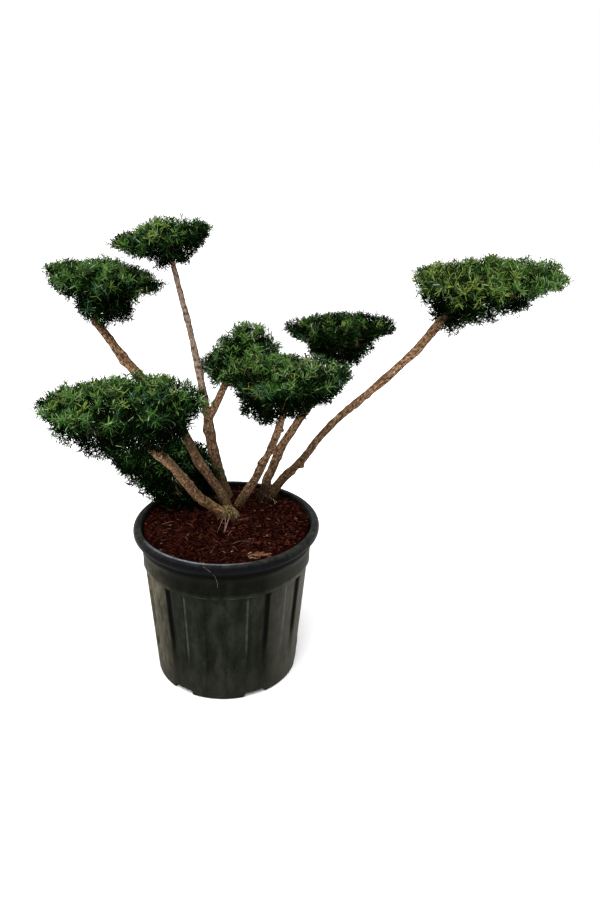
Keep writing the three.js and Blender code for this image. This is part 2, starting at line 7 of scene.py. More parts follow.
import bpy
import numpy as np
from mathutils import Euler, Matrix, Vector


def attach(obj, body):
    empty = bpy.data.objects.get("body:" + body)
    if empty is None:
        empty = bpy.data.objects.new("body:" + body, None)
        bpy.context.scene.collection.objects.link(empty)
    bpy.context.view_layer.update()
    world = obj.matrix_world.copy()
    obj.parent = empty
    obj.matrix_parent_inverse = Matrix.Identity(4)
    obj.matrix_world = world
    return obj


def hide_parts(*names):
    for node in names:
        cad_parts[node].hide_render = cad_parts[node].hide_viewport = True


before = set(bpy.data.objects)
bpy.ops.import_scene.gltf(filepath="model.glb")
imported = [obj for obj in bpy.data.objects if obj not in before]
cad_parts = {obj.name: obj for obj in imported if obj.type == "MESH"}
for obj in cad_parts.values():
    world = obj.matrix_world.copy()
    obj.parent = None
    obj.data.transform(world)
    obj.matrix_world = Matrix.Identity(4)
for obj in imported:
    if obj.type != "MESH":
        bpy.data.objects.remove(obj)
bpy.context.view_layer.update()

# Seeds; feet, limbs and masses count on from theirs
MULCH_SEED = 3
FOOT_SEED = 3
FOOT_FIBRE_SEED = 60
LIMB_SEED = 20
MASS_SEED = 101
SPRIG_SEED = 77

MILLIMETRES = 1000
FULL_TURN = 2 * math.pi
GOLDEN_ANGLE = 2.39996
UP = np.array([0, 0, 1.0])

# The camera, its lens in pixels of the photograph
CAMERA_PLACE = (0.195, -2.27, 1.58)
CAMERA_PITCH = 12
CAMERA_ROLL = 0.6
PHOTO_HEIGHT = 900.0
FOCAL_LENGTH = 892.0
FRAME_SHIFT = -170.0
SENSOR_HEIGHT = 36.0

# The stage
FLOOR_HALF_WIDTH = 14.0
SUN_STRENGTH = 4.4
SUN_SPREAD = 60
SUN_HEADING = (0.25, 0.42, -1)

# The pot
POT_HEIGHT = 0.42
RIM_RADIUS = 0.255
RIM_FOOT_HEIGHT = 0.3975
LIP_RADIUS = 0.234
BAND_RADIUS = 0.2295
LEDGE_HEIGHT = 0.315
WALL_TOP_RADIUS = 0.226
FOOT_RADIUS = 0.192
WALL_THICKNESS = 0.004
FLOOR_THICKNESS = 0.004
FLOOR_DISC_RADIUS = 0.15
CHANNEL_HEIGHT = 0.017
SKIRT_INNER_RADIUS = 0.183
AXIS_GAP = 0.0002

# The outside from the band up to the roll's widest part, as radius and height, and the roll
COLLAR = [(235.5, 366), (238, 372), (240.2, 378), (241.4, 383.5), (241.2, 387), (242.4, 389.5),
    (244.8, 393), (246.2, 396.5), (247.8, 398.4), (250.5, 399), (253, 399.7), (254.6, 401.2),
    (255.3, 404), (255.5, 408)]
ROLL_CENTRE = (0.2435, 0.408)
ROLL_RADII = (0.012, 0.0121)

# Flutes and notches, with angles in degrees
FLUTE_COUNT = 12
FLUTE_DEPTH = 0.007
FLUTE_FIRST_ANGLE = -33.3
FLUTE_HALF_ANGLE = 8.0
FLUTE_SIDE_ANGLE = 1.5
FLUTE_LOW_END = 0.06
FLUTE_LOW_FULL = 0.092
NOTCH_COUNT = 6
NOTCH_HALF_ANGLE = 9.4
NOTCH_SIDE_ANGLE = 1.3
NOTCH_HEIGHT = 0.014

# How strong the painted highlight on the outer edge of each flute's sides is, and how strong the painted
# shade in their corner
EDGE_HIGHLIGHT = (0.5, 0.9, 0.06, 0.06, 0.5, 0.1, 0.9, 0.6, 0.3, 0.6, 0.2, 0.8)
CORNER_SHADE = (1.5, 0.1, 0.1, 0.1, 0.1, 1.3, 0.1, 1.5, 0.5, 1.0, 0.3, 0.9)

# The soil and its bark mulch
SOIL_TOP = 0.412
SOIL_DEPTH = 0.04
SOIL_RADIUS = 0.23
SOIL_PLATEAU_RADIUS = 0.218
SOIL_EDGE_DROP = 0.009
SOIL_RELIEF = 0.0035
SOIL_RINGS = 70
SOIL_COLUMNS = 240
CHIP_COUNT = 6200
TAN_COUNT = 90
TAN_PLACE = (0.1, -0.181)
TAN_SPREAD = (0.015, 0.0055)
FIBRE_COUNT = 420
STRAW_RADIUS = 0.00028

# Colours of the mulch and of loose fibres: in the wood's pores and on its face
CHIP_TONES = {
    "mulch_dark": ((0.0018, 0.0006, 0.0006), (0.01, 0.0024, 0.002)),
    "mulch_red": ((0.01, 0.002, 0.0015), (0.044, 0.0085, 0.0055)),
    "mulch_russet": ((0.03, 0.0068, 0.0042), (0.098, 0.025, 0.014)),
    "mulch_tan": ((0.08, 0.03, 0.016), (0.22, 0.112, 0.058)),
    "mulch_pale": ((0.2, 0.135, 0.095), (0.4, 0.3, 0.22)),
}
FIBRE_TONES = {
    "fibre_brown": ((0.05, 0.016, 0.009), (0.11, 0.04, 0.022)),
    "fibre_pale": ((0.17, 0.1, 0.065), (0.33, 0.23, 0.17)),
}
CHIP_SHARES = (0.4, 0.385, 0.189, 0.024, 0.002)
TAN_SHARES = (0, 0, 0.22, 0.63, 0.15)
PALE_CHIP = 4
PALE_FIBRE = 1

# Pale slivers on the mulch beside the right foot, and a straw that lies over the rim's front
SLIVERS = [(126, 132), (132, 119), (130, 107), (92, 125)]
STRAW = [(-38.7, -252, 420.8), (-23.5, -257.2, 412.5), (-10.8, -247, 393.1), (-5.3, -242.5, 374.6),
    (-4.3, -238, 355.6)]

# The feet that stems spring from, each with its place on the soil, radius and height. "wood" is
# its colour from gaps to crests, "hair" that of its fibres. FOOT_SECTION is their outline, from
# below the soil up, as shares of the radius and the height.
FEET = {
    "foot_left": {
        "at": (1, 29), "radius": 25, "height": 34, "rough": 1,
        "wood": ("mossy_foot", (0.01, 0.007, 0.003), (0.085, 0.064, 0.018), (0.23, 0.17, 0.07)),
        "hair": ("straw_fibre", (0.16, 0.11, 0.06), (0.42, 0.33, 0.22)),
    },
    "foot_right": {
        "at": (103, 156), "radius": 24, "height": 38, "rough": 1.7,
        "wood": ("brown_foot", (0.006, 0.004, 0.002), (0.034, 0.019, 0.01), (0.13, 0.084, 0.046)),
        "hair": ("root_fibre", (0.01, 0.005, 0.003), (0.06, 0.034, 0.02)),
    },
}
LONG_HAIR = ("pink_fibre", (0.2, 0.11, 0.085), (0.42, 0.27, 0.22))
FOOT_SECTION = [(1.00, -0.22), (0.96, 0.0), (0.92, 0.14), (0.88, 0.32), (0.8, 0.52), (0.66, 0.74),
    (0.45, 0.9), (0.2, 0.985)]
FOOT_RINGS = 40
FOOT_SIDES = 64
FOOT_HAIRS = 60
ROOTLETS = 60
LONG_HAIRS = 7
LONG_HAIR_RADIUS = 0.0006

# Limbs and their bark. Each bark has its name, how pale it is, how much painted shade it takes low
# down and how grey high up; the pale and dark barks are lit and shaded copies of one bark.
# PAINTED_SHADE_SPOTS are places of painted shade on it: the middle, the reach and how dark.
RING_STEP = 0.0032
LIMB_SIDES = 36
BARK_RELIEF = 0.0009
KNOTS_PER_METRE = 30
KNOT_WIDTH = 0.0048
KNOT_HEIGHT = 0.0026
BARKS = {
    "plain": ("yew_bark", 0.92, 0.15, 0),
    "pale": ("yew_bark_lit", 1.00, 0.0, 0),
    "dark": ("yew_bark_shaded", 0.89, 0.62, 0),
    "grey": ("yew_bark_grey", 0.98, 0.55, 0.6),
}
BARK_TONES = ((0.4, (0.028, 0.014, 0.007)), (0.47, (0.11, 0.06, 0.03)),
    (0.54, (0.228, 0.13, 0.068)), (0.62, (0.47, 0.308, 0.186)))
PAINTED_SHADE_SPOTS = (((-0.125, 0.072, 0.64), 0.1, 0.9), ((0.118, 0.152, 0.425), 0.075, 0.75))

# The limbs, foot to tip: points to pass through, "girth" as shares of the length with diameters,
# and "knobs" as the share, the way each faces, its height and its spread
LIMBS = {
    "stem_front_left": {
        "bark": "pale", "girth": [(0, 26), (1, 24)],
        "through": [(8, 24, 412.3), (-16, 14, 436), (-42, 10, 455), (-72, -20, 494), (-98, -60, 551),
            (-117, -100, 600), (-133, -145, 647), (-161, -210, 710)],
    },
    "stem_upper_left": {
        "bark": "dark", "girth": [(0, 27), (0.1, 26), (0.8, 28), (0.88, 24), (1, 24)],
        "knobs": [(0.845, (1, -0.6, 1), 3.6, 13), (0.82, (-1, -0.6, -1), 3.4, 11)],
        "through": [(4, 50, 412.3), (-11, 52, 457), (-35, 55, 495), (-52, 58, 518), (-85, 66, 564),
            (-114, 75, 620), (-178, 90, 730), (-263, 108, 812), (-302, 118, 853), (-328, 124, 889),
            (-361, 130, 932)],
    },
    "stem_tall": {
        "bark": "grey", "girth": [(0, 32), (0.34, 31), (0.42, 22.5), (0.8, 17.8), (1, 15)],
        "knobs": [(0.32, (-1, -0.4, 0), 4, 12), (0.4, (-1, -1, 0), 3.5, 10)],
        "through": [(-6, 152, 412.3), (-15, 150, 432), (-28, 147, 469), (-48, 138, 561), (-57, 135, 612),
            (-64, 131, 676), (-76, 130, 743), (-85, 130, 795), (-103, 137, 885), (-132, 145, 1006),
            (-157, 160, 1100)],
    },
    "bough_small_round": {
        "girth": [(0, 24), (1, 22)],
        "through": [(-62, 131, 662), (-35, 140, 716), (-20, 163, 747)],
    },
    "stem_front_right": {
        "girth": [(0, 24), (0.08, 28), (0.25, 26.5), (0.5, 21), (1, 20)],
        "knobs": [(0.832, (1, -0.4, 0.2), 6, 6), (0.41, (-1, -0.5, 0.4), 4, 9)],
        "through": [(24, 104, 412.3), (43, 93, 448), (64, 80, 486), (83, 70, 524), (97, 60, 562),
            (116, 45, 601), (129, 20, 644), (142, -35, 699), (150, -85, 744)],
    },
    "stem_back_right": {
        "girth": [(0, 27), (0.4, 25), (1, 21)],
        "knobs": [(0.3, (1, -0.4, -0.4), 3.2, 8)],
        "through": [(96, 155, 412.3), (105, 160, 466), (118, 163, 496), (139, 170, 549), (156, 175, 581),
            (178, 180, 614), (200, 187, 646), (223, 200, 676), (266, 225, 714), (313, 250, 762)],
    },
    "stem_long_right": {
        "bark": "dark", "girth": [(0, 27), (0.13, 26.5), (0.19, 22.5), (0.6, 21.5), (1, 24)],
        "knobs": [(0.21, (1, -0.4, -1), 6, 7), (0.16, (1, -0.4, -1), 4.2, 10), (0.62, (1, -0.5, -1), 3, 8)],
        "through": [(114, 156, 412.3), (136, 148, 454), (164, 136, 494), (191, 125, 527), (215, 115, 559),
            (247, 100, 612), (274, 92, 649), (310, 78, 694), (366, 62, 751), (431, 42, 819), (474, 28, 868),
            (512, 12, 914), (552, -10, 977)],
    },
    "stem_low_left": {
        "bark": "foot", "girth": [(0, 20), (1, 15)],
        "through": [(-22, 118, 412.3), (-48, 114, 430), (-88, 106, 435)],
    },
}

# The clipped masses: a lens round "rim", down to the tip of its bough. "light", "fade", "pivot" and
# "side_fade" set how much painted light it takes, how that grows with height, from where, and how it
# falls towards +X. "dry" and "gold" deal out olive and golden shoots. "pushes" are dents and bulges
# seen from the front: the place (x, z), the move (x, z) and how far it spreads.
USUAL_MASS = {"fade": 1, "pivot": 0.5, "side_fade": 0, "dry": 0, "gold": 0, "gold_reach": 0.55,
    "gold_depth": 0, "density": 1, "broad": 1, "droop": 0}
MASSES = {
    "mass_top": {
        "bough": "stem_tall", "rim": (-187, 170, 1185), "across": 147, "deep": 130, "dome": 44, "tilt": 9,
        "fullness": (2.5, 2), "light": 1.2, "fade": 0.7, "side_fade": 0.55, "gold": 0.5, "gold_depth": 2,
        "pushes": [(-207, 1229, 0, 11, 22), (-330, 1166, -8, 0, 28), (-140, 1123, 5, -14, 31),
            (-176, 1100, 0, -9, 20), (-50, 1200, -6, 0, 22), (-81, 1158, 14, -11, 22),
            (-187, 1106, 0, -11, 25)],
    },
    "mass_upper_left": {
        "bough": "stem_upper_left", "rim": (-348, 150, 1070), "across": 169, "deep": 150, "dome": 46,
        "tilt": -9, "fullness": (2.5, 2), "light": 1.35, "dry": 0.15, "fade": 0.6,
        "pushes": [(-435, 1121, 0, -6, 39), (-319, 1122, 0, 8, 41), (-199, 1067, -8, -6, 22),
            (-228, 998, -25, 14, 33), (-342, 940, 2, -14, 22), (-446, 996, 9, 6, 39),
            (-199, 1039, 14, -8, 17), (-494, 1047, -9, -6, 28)],
    },
    "mass_small_round": {
        "bough": "bough_small_round", "rim": (29, 220, 820), "across": 118, "deep": 115, "dome": 112,
        "tilt": 10, "fullness": (2.2, 2), "light": 2.8, "fade": 0.7, "side_fade": 0.25,
        "pushes": [(-76, 801, -18, -9, 35), (-51, 743, -18, -16, 29), (-35, 886, 11, -12, 35),
            (-13, 719, -6, -15, 21), (87, 920, 3, 12, 17), (119, 893, 12, 3, 17), (-26, 874, -17, 15, 23),
            (98, 896, 17, -6, 20)],
    },
    "mass_front_right": {
        "bough": "stem_front_right", "rim": (160, -120, 887), "across": 166, "deep": 145, "dome": 26,
        "tilt": 1, "fullness": (3, 2.2), "light": 0.7, "fade": 2.6, "pivot": 0.72, "gold": 0.15,
        "gold_reach": 2,
        "pushes": [(87, 776, -8, -14, 41), (172, 933, 0, -8, 35), (328, 898, 13, -2, 25),
            (287, 834, 10, -11, 25), (318, 893, 15, -2, 18), (117, 765, 0, -16, 28), (54, 797, -10, -11, 25)],
    },
    "mass_front_left": {
        "bough": "stem_front_left", "rim": (-228, -280, 862), "across": 204, "deep": 165, "dome": 50,
        "tilt": 1, "fullness": (3, 2.7), "light": 0.65, "dry": 0.25, "fade": 1, "side_fade": 0.45,
        "gold": 0.15, "gold_reach": 2,
        "pushes": [(-293, 918, 0, -5, 37), (-102, 925, 3, 10, 42), (-423, 840, 7, 0, 16),
            (-356, 763, -8, -15, 40), (-383, 788, -8, -15, 33), (-262, 734, 0, -13, 38),
            (-223, 921, 0, 10, 23), (-130, 919, 0, 10, 28), (-42, 839, 5, -15, 19), (-314, 748, 0, -8, 24)],
    },
    "mass_back_right": {
        "bough": "stem_back_right", "rim": (317, 270, 906), "across": 162, "deep": 145, "dome": 24,
        "tilt": 2, "fullness": (3, 1.6), "light": -0.6, "fade": 2.4, "pivot": 0.78, "side_fade": 0.35,
        "gold": 0.4, "gold_reach": 1.1,
        "pushes": [(152, 898, -15, 0, 18), (191, 853, 6, 9, 24), (230, 819, -9, -12, 18),
            (278, 942, 0, -6, 47), (464, 917, 6, 0, 24), (442, 871, -9, 6, 24)],
    },
    "mass_long_right": {
        "bough": "stem_long_right", "rim": (692, 0, 1109), "across": 210, "deep": 165, "dome": 46,
        "tilt": -0.5, "fullness": (3, 2), "light": 2.4, "dry": 0.2, "fade": 3.2, "pivot": 0.54, "gold": 0.8,
        "gold_depth": 1,
        "pushes": [(829, 1144, 4, 16, 44), (686, 1161, 0, 8, 52), (887, 1105, -10, 0, 21),
            (828, 1053, -1, 10, 36), (612, 980, -4, -20, 45), (528, 1021, 13, 3, 31),
            (578, 978, -2, -19, 24), (866, 1144, 7, 13, 18), (875, 1078, 9, -16, 21),
            (756, 1034, 1, -13, 26), (680, 1166, 0, -5, 26), (591, 1149, 0, -5, 23)],
    },
    "mass_low_left": {
        "bough": "stem_low_left", "rim": (-182, 154, 452), "across": 158, "deep": 130, "dome": 116,
        "tilt": -8, "fullness": (2.1, 2.6), "density": 2.2, "broad": 1.3, "light": -1.2, "droop": 0.6,
        "pushes": [(-295, 450, 10, 45, 50), (-330, 510, -14, 30, 45), (-90, 500, 0, 60, 45),
            (-233, 461, 8, 16, 34), (-310, 527, 12, 12, 25), (-148, 552, 1, 22, 35), (-69, 531, 14, 7, 29)],
    },
}

# Shoots, needles and twigs
SHOOT_AREA = 0.00021
RIM_SPACING = 0.016
PLACE_TRIES = 8
SHOOT_LENGTH = 0.05
LAYER_SHARES = (0.33, 0.37, 0.3)
LAYER_SHADE = np.array([-0.05, 0.95, 1.6])
NEEDLES_PER_SHOOT = 30
NEEDLE_LENGTH = 0.0245
NEEDLE_WIDTH = 0.0019
STEM_STEP = 0.008
PRIMARY_COUNT = 9
SHOOTS_PER_NODE = 9
TWIG_RADII = (0.0013, 0.0012, 0.001, 0.0008, 0.0005)
NEEDLES_PER_SPRIG = 22
SPRIG_SCALE = 0.62
SPRIG_RADII = (0.0018, 0.0014, 0.001, 0.0005)

# A needle's five corners, as shares of its length, width and sag, and its triangles
NEEDLE_CORNERS = np.array([[0, 0, 0.7, 0.7, 1], [-0.42, 0.42, -0.5, 0.5, 0], [0, 0, 0.36, 0.36, 1]])
NEEDLE_FACES = np.array([[0, 1, 3], [0, 3, 2], [2, 3, 4]])

# How foliage finds room: the limbs as balls, so far apart, and points tested so many at a time
LIMB_CLEARANCE = 0.004
NEEDLE_CLEARANCE = 0.0006
BALL_STEP = 0.008
NEAR_LIMB = 0.05
BATCH = 20000

# Sprigs on the bare stems: root, direction, length and tint (MID is 2, COOL 6, OLIVE 7)
SPRIGS = [
    ((-71, 118, 700), (-0.7, -0.5, 0.5), 26, 7), ((-66, 117, 705), (0.2, -0.8, 0.6), 22, 7),
    ((-74, 119, 716), (-0.5, -0.7, 0.3), 24, 2), ((-60, 119, 708), (0.7, -0.4, 0.6), 22, 7),
    ((-72, 118, 690), (-0.8, -0.4, 0.1), 24, 2), ((-66, 116, 690), (-0.1, -0.9, 0.3), 18, 7),
    ((-77, 121, 730), (-0.6, -0.6, 0.6), 20, 2), ((-43, 128, 500), (0.8, -0.4, 0.5), 20, 6),
    ((-46, 127, 520), (0.2, -0.8, 0.6), 20, 2), ((-50, 124, 530), (-0.6, -0.6, 0.4), 24, 6),
]

# Needle tints, darkest first, as plain base colours, and how much each shines. The first five are
# steps of painted shade and painted light on one green, which shoots take by their brightness;
# needle_glint is a painted highlight.
NEEDLE_TINTS = {
    "needle_shade": ((0.0012, 0.0036, 0.0011), 0),
    "needle_deep_shade": ((0.0046, 0.016, 0.0038), 0),
    "needle_mid": ((0.016, 0.046, 0.009), 0.02),
    "needle_lit": ((0.036, 0.096, 0.017), 0.04),
    "needle_bright": ((0.088, 0.172, 0.034), 0.08),
    "needle_glint": ((0.19, 0.25, 0.135), 0.2),
    "needle_cool": ((0.027, 0.076, 0.033), 0.06),
    "needle_olive": ((0.08, 0.104, 0.025), 0.05),
    "needle_rust": ((0.06, 0.033, 0.016), 0.05),
    "needle_gold": ((0.13, 0.185, 0.032), 0.08),
}
SHADE, DEEP_SHADE, MID, LIT, BRIGHT, GLINT, COOL, OLIVE, RUST, GOLD = range(10)
TINT_STEPS = (-0.25, 0.15, 0.62, 1.2)


# Noise

def lattice(cells, seed):
    """A fixed random number from 0 to 1 for each whole-number cell."""
    x, y, z = np.moveaxis(cells, -1, 0)
    mixed = (x * 374761393 + y * 668265263 + z * 1440662683 + seed * 974634777) & 0xFFFFFFFF
    mixed = ((mixed ^ (mixed >> 13)) * 1274126177) & 0xFFFFFFFF
    return ((mixed ^ (mixed >> 16)) & 0xFFFF) / 65535.0


def noise(points, seed):
    """Smooth noise from -1 to 1 at each point."""
    cells = np.floor(points).astype(np.int64)
    inside = points - cells
    ease = inside * inside * (3.0 - 2.0 * inside)
    total = np.zeros(points.shape[:-1])
    for corner in np.ndindex(2, 2, 2):
        weight = np.prod(np.where(corner, ease, 1.0 - ease), axis=-1)
        total += weight * lattice(cells + np.array(corner), seed)
    return 2.0 * total - 1.0


def layered_noise(points, seed, layers=3):
    return sum(noise(points * 2.0 ** layer, seed + layer) / 2.0 ** layer for layer in range(layers))


# Meshes

def add_object(name, data):
    made = bpy.data.objects.new(name, data)
    bpy.context.scene.collection.objects.link(made)
    return made


def mesh_piece(name, slot_name, vertices, triangles, materials, slots=None, smooth=True, replaced=()):
    """A mesh object that rides on the plant's one body."""
    triangles = np.asarray(triangles, dtype=np.int32)
    count = len(triangles)
    mesh = bpy.data.meshes.new(name)
    mesh.vertices.add(len(vertices))
    mesh.vertices.foreach_set("co", np.asarray(vertices, dtype=np.float32).ravel())
    mesh.loops.add(3 * count)
    mesh.loops.foreach_set("vertex_index", triangles.ravel())
    mesh.polygons.add(count)
    mesh.polygons.foreach_set("loop_start", np.arange(0, 3 * count, 3, dtype=np.int32))
    mesh.polygons.foreach_set("loop_total", np.full(count, 3, dtype=np.int32))
    for material in materials:
        mesh.materials.append(material)
    if slots is not None:
        mesh.polygons.foreach_set("material_index", np.asarray(slots, dtype=np.int32))
    mesh.polygons.foreach_set("use_smooth", np.full(count, smooth))
    mesh.update(calc_edges=True)
    piece = add_object(name, mesh)
    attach(piece, "root")
    if replaced:
        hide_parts(*replaced)
    return piece


def add_values(piece, name, values, kind, key):
    """Values of one kind stored on a piece's vertices, for its material."""
    attribute = piece.data.attributes.new(name, kind, "POINT")
    attribute.data.foreach_set(key, np.asarray(values, dtype=np.float32).ravel())


class Pile:
    """Vertices, triangles and their slots of many small shapes, gathered to become one mesh."""

    def __init__(self):
        self.vertices, self.triangles, self.slots = [], [], []
        self.count = 0

    def add(self, vertices, triangles, slots):
        """Shapes as arrays: vertices (shape, corner, 3), triangles of one shape, a slot each."""
        shapes, corners = vertices.shape[:2]
        starts = self.count + corners * np.arange(shapes)
        self.vertices.append(vertices.reshape(-1, 3))
        self.triangles.append((starts[:, None, None] + triangles[None]).reshape(-1, 3))
        self.slots.append(np.repeat(np.broadcast_to(slots, shapes), len(triangles)))
        self.count += shapes * corners

    def add_tubes(self, paths, radii, slots, sides=3):
        """Tapering tubes with a few sides along arrays of paths (path, point, 3)."""
        count, stations = paths.shape[:2]
        radii = np.broadcast_to(radii, (count, stations))
        along = unit(np.gradient(paths, axis=1))
        helper = np.where(np.abs(along[..., 2:]) > 0.9, np.array([1.0, 0, 0]), UP)
        across = unit(np.cross(along, helper))
        other = np.cross(along, across)
        angle = FULL_TURN * np.arange(sides) / sides
        ring = np.cos(angle)[:, None] * across[:, :, None] + np.sin(angle)[:, None] * other[:, :, None]
        vertices = paths[:, :, None] + radii[:, :, None, None] * ring
        self.add(vertices.reshape(count, stations * sides, 3), tube_triangles(stations, sides), slots)

    def piece(self, name, slot_name, materials, **options):
        return mesh_piece(name, slot_name, np.concatenate(self.vertices), np.concatenate(self.triangles),
                          materials, slots=np.concatenate(self.slots), **options)


def wall_triangles(rings, sides):
    """Triangles of an open tube, its vertices counted ring by ring."""
    ring, side = np.indices((rings - 1, sides)).reshape(2, -1)
    here, after = ring * sides + side, ring * sides + (side + 1) % sides
    return np.vstack([np.stack([here, after, after + sides], axis=1),
                      np.stack([here, after + sides, here + sides], axis=1)])


def tube_triangles(rings, sides):
    """Triangles of a tube with flat ends."""
    last = (rings - 1) * sides
    ends = [[0, i + 1, i] for i in range(1, sides - 1)]
    ends += [[last, last + i, last + i + 1] for i in range(1, sides - 1)]
    return np.vstack([wall_triangles(rings, sides), ends])


def capped_triangles(rings, sides):
    """Triangles of a tube closed at both ends by fans round two more vertices."""
    here = np.arange(sides)
    after = (here + 1) % sides
    last, middle = (rings - 1) * sides, np.full(sides, rings * sides)
    return np.vstack([wall_triangles(rings, sides), np.stack([after, here, middle], axis=1),
                      np.stack([last + here, last + after, middle + 1], axis=1)])


# Points and curves

def joined(x, y, z):
    """Points from an array or a number for each axis."""
    return np.stack(np.broadcast_arrays(x, y, z), axis=-1)


def level(bearing):
    """Level unit vectors, their bearings from +X."""
    return joined(np.cos(bearing), np.sin(bearing), 0.0)


def unit(vectors):
    return vectors / np.maximum(np.linalg.norm(vectors, axis=-1, keepdims=True), 1e-9)


def side_vectors(along, random):
    """A random unit vector square to each given one."""
    return unit(np.cross(along, random.normal(size=along.shape)))


def smooth_path(through, step):
    """Evenly spaced points on the centripetal curve through the given points, and its length."""
    points = np.array(through, dtype=float)
    points = np.vstack([2 * points[0] - points[1], points, 2 * points[-1] - points[-2]])
    fine = []
    for i in range(1, len(points) - 2):
        before, start, end, after = points[i - 1:i + 3]
        first, middle, last = (math.sqrt(np.linalg.norm(b - a))
                               for a, b in ((before, start), (start, end), (end, after)))
        leave = ((start - before) / first - (end - before) / (first + middle)
                 + (end - start) / middle) * middle
        arrive = ((end - start) / middle - (after - start) / (middle + last)
                  + (after - end) / last) * middle
        t = np.linspace(0, 1, 60, endpoint=False)[:, None]
        fine.append(start + leave * t + (3 * (end - start) - 2 * leave - arrive) * t ** 2
                    + (2 * (start - end) + leave + arrive) * t ** 3)
    fine = np.vstack(fine + [points[-2:-1]])
    run = np.concatenate([[0.0], np.cumsum(np.linalg.norm(np.diff(fine, axis=0), axis=1))])
    places = np.linspace(0, run[-1], max(4, int(round(run[-1] / step)) + 1))
    return np.stack([np.interp(places, run, fine[:, k]) for k in range(3)], axis=1), run[-1]


def path_frames(path):
    """Two directions square to a path at each of its points, turned along it without twist."""
    tangents = unit(np.gradient(path, axis=0))
    normal = unit(np.cross(tangents[0], [0.0, 1.0, 0.2]))
    normals = []
    for tangent in tangents:
        normal = unit(normal - tangent * np.dot(normal, tangent))
        normals.append(normal)
    return np.array(normals), np.cross(tangents, normals)


def bend(start, middle, end, count):
    """Curved paths as arrays (path, point, 3), each pulled towards its middle point."""
    t = np.linspace(0, 1, count)[None, :, None]
    return (1 - t) ** 2 * start[:, None] + 2 * t * (1 - t) * middle[:, None] + t ** 2 * end[:, None]


# Materials

class Surface:
    """A material under construction. Its calls take sockets or plain values and give sockets."""

    def __init__(self, name, roughness, specular):
        self.material = bpy.data.materials.new(name)
        self.material.use_nodes = True
        self.nodes = self.material.node_tree.nodes
        self.colour = None
        if roughness is not None:
            self.set_shader("Roughness", roughness)
        self.set_shader("Specular IOR Level", specular)

    def feed(self, socket, value):
        """Links another socket to this one, or sets its value."""
        if isinstance(value, bpy.types.NodeSocket):
            self.material.node_tree.links.new(value, socket)
        else:
            socket.default_value = (*value, 1) if socket.type == "RGBA" else value

    def set_shader(self, key, value):
        self.feed(self.nodes["Principled BSDF"].inputs[key], value)

    def add(self, kind, output, inputs=None, **settings):
        """An output of a new node."""
        node = self.nodes.new("ShaderNode" + kind)
        for key, value in settings.items():
            setattr(node, key, value)
        for key, value in (inputs or {}).items():
            self.feed(node.inputs[key], value)
        return node.outputs[output]

    def place(self):
        return self.add("TexCoord", "Object")

    def axis(self, key, vector):
        return self.add("SeparateXYZ", key, {"Vector": vector})

    def vector_math(self, operation, *vectors):
        output = "Vector" if operation == "MULTIPLY" else "Value"
        return self.add("VectorMath", output, dict(enumerate(vectors)), operation=operation)

    def noise(self, vector, scale, detail, roughness, stretch=(1, 1, 1)):
        mapped = self.add("Mapping", "Vector", {"Vector": vector, "Scale": stretch})
        return self.add("TexNoise", "Fac", {"Vector": mapped, "Scale": scale, "Detail": detail,
                                            "Roughness": roughness})

    def ramp(self, factor, stops):
        """Colours through (place, colour) stops."""
        colour = self.add("ValToRGB", "Color", {"Fac": factor})
        elements = colour.node.color_ramp.elements
        while len(elements) < len(stops):
            elements.new(0.5)
        for element, (place, tone) in zip(elements, stops):
            element.position = place
            element.color = (*tone, 1)
        return colour

    def ranged(self, value, low, high, out_low=0, out_high=1):
        return self.add("MapRange", "Result", {"Value": value, "From Min": low, "From Max": high,
                                               "To Min": out_low, "To Max": out_high})

    def times(self, one, other):
        return self.add("Math", "Value", {0: one, 1: other}, operation="MULTIPLY")

    def paint(self, share, tone):
        """Lays a colour over the one so far, by a share from 0 to 1."""
        self.colour = self.add("Mix", "Result", {"Factor": share, "A": self.colour, "B": tone},
                               data_type="RGBA")

    def finish(self, height, strength, distance):
        """Wires the colour, and a bump from a height."""
        self.set_shader("Base Color", self.colour)
        self.set_shader("Normal", self.add(
            "Bump", "Normal", {"Height": height, "Strength": strength, "Distance": distance}))
        return self.material


def plain_material(name, colour, roughness, specular):
    skin = Surface(name, roughness, specular)
    skin.set_shader("Base Color", colour)
    return skin.material


def grained_material(name, stops, grain, bump, roughness, specular=0):
    """Colours ramped over one noise, which makes the bump too."""
    skin = Surface(name, roughness, specular)
    height = skin.noise(skin.place(), *grain)
    skin.colour = skin.ramp(height, stops)
    return skin.finish(height, *bump)


def chip_material(name, dark, pale):
    return grained_material(name, ((0.3, dark), (0.7, pale)), (420, 4, 0.6), (0.5, 0.0006), 0.82)


def foot_material(name, dark, middle, light):
    """Rough rooty wood, in three colours from its gaps to its crests."""
    return grained_material(name, ((0.44, dark), (0.51, middle), (0.6, light)),
                            (190, 6, 0.75, (1, 1, 0.5)), (0.9, 0.002), 0.9, 0.05)


def soil_material():
    stops = ((0.32, (0.0016, 0.0006, 0.0005)), (0.5, (0.007, 0.0018, 0.0014)),
             (0.68, (0.026, 0.006, 0.004)))
    return grained_material("dark_soil", stops, (170, 6, 0.7), (0.8, 0.002), 0.9)


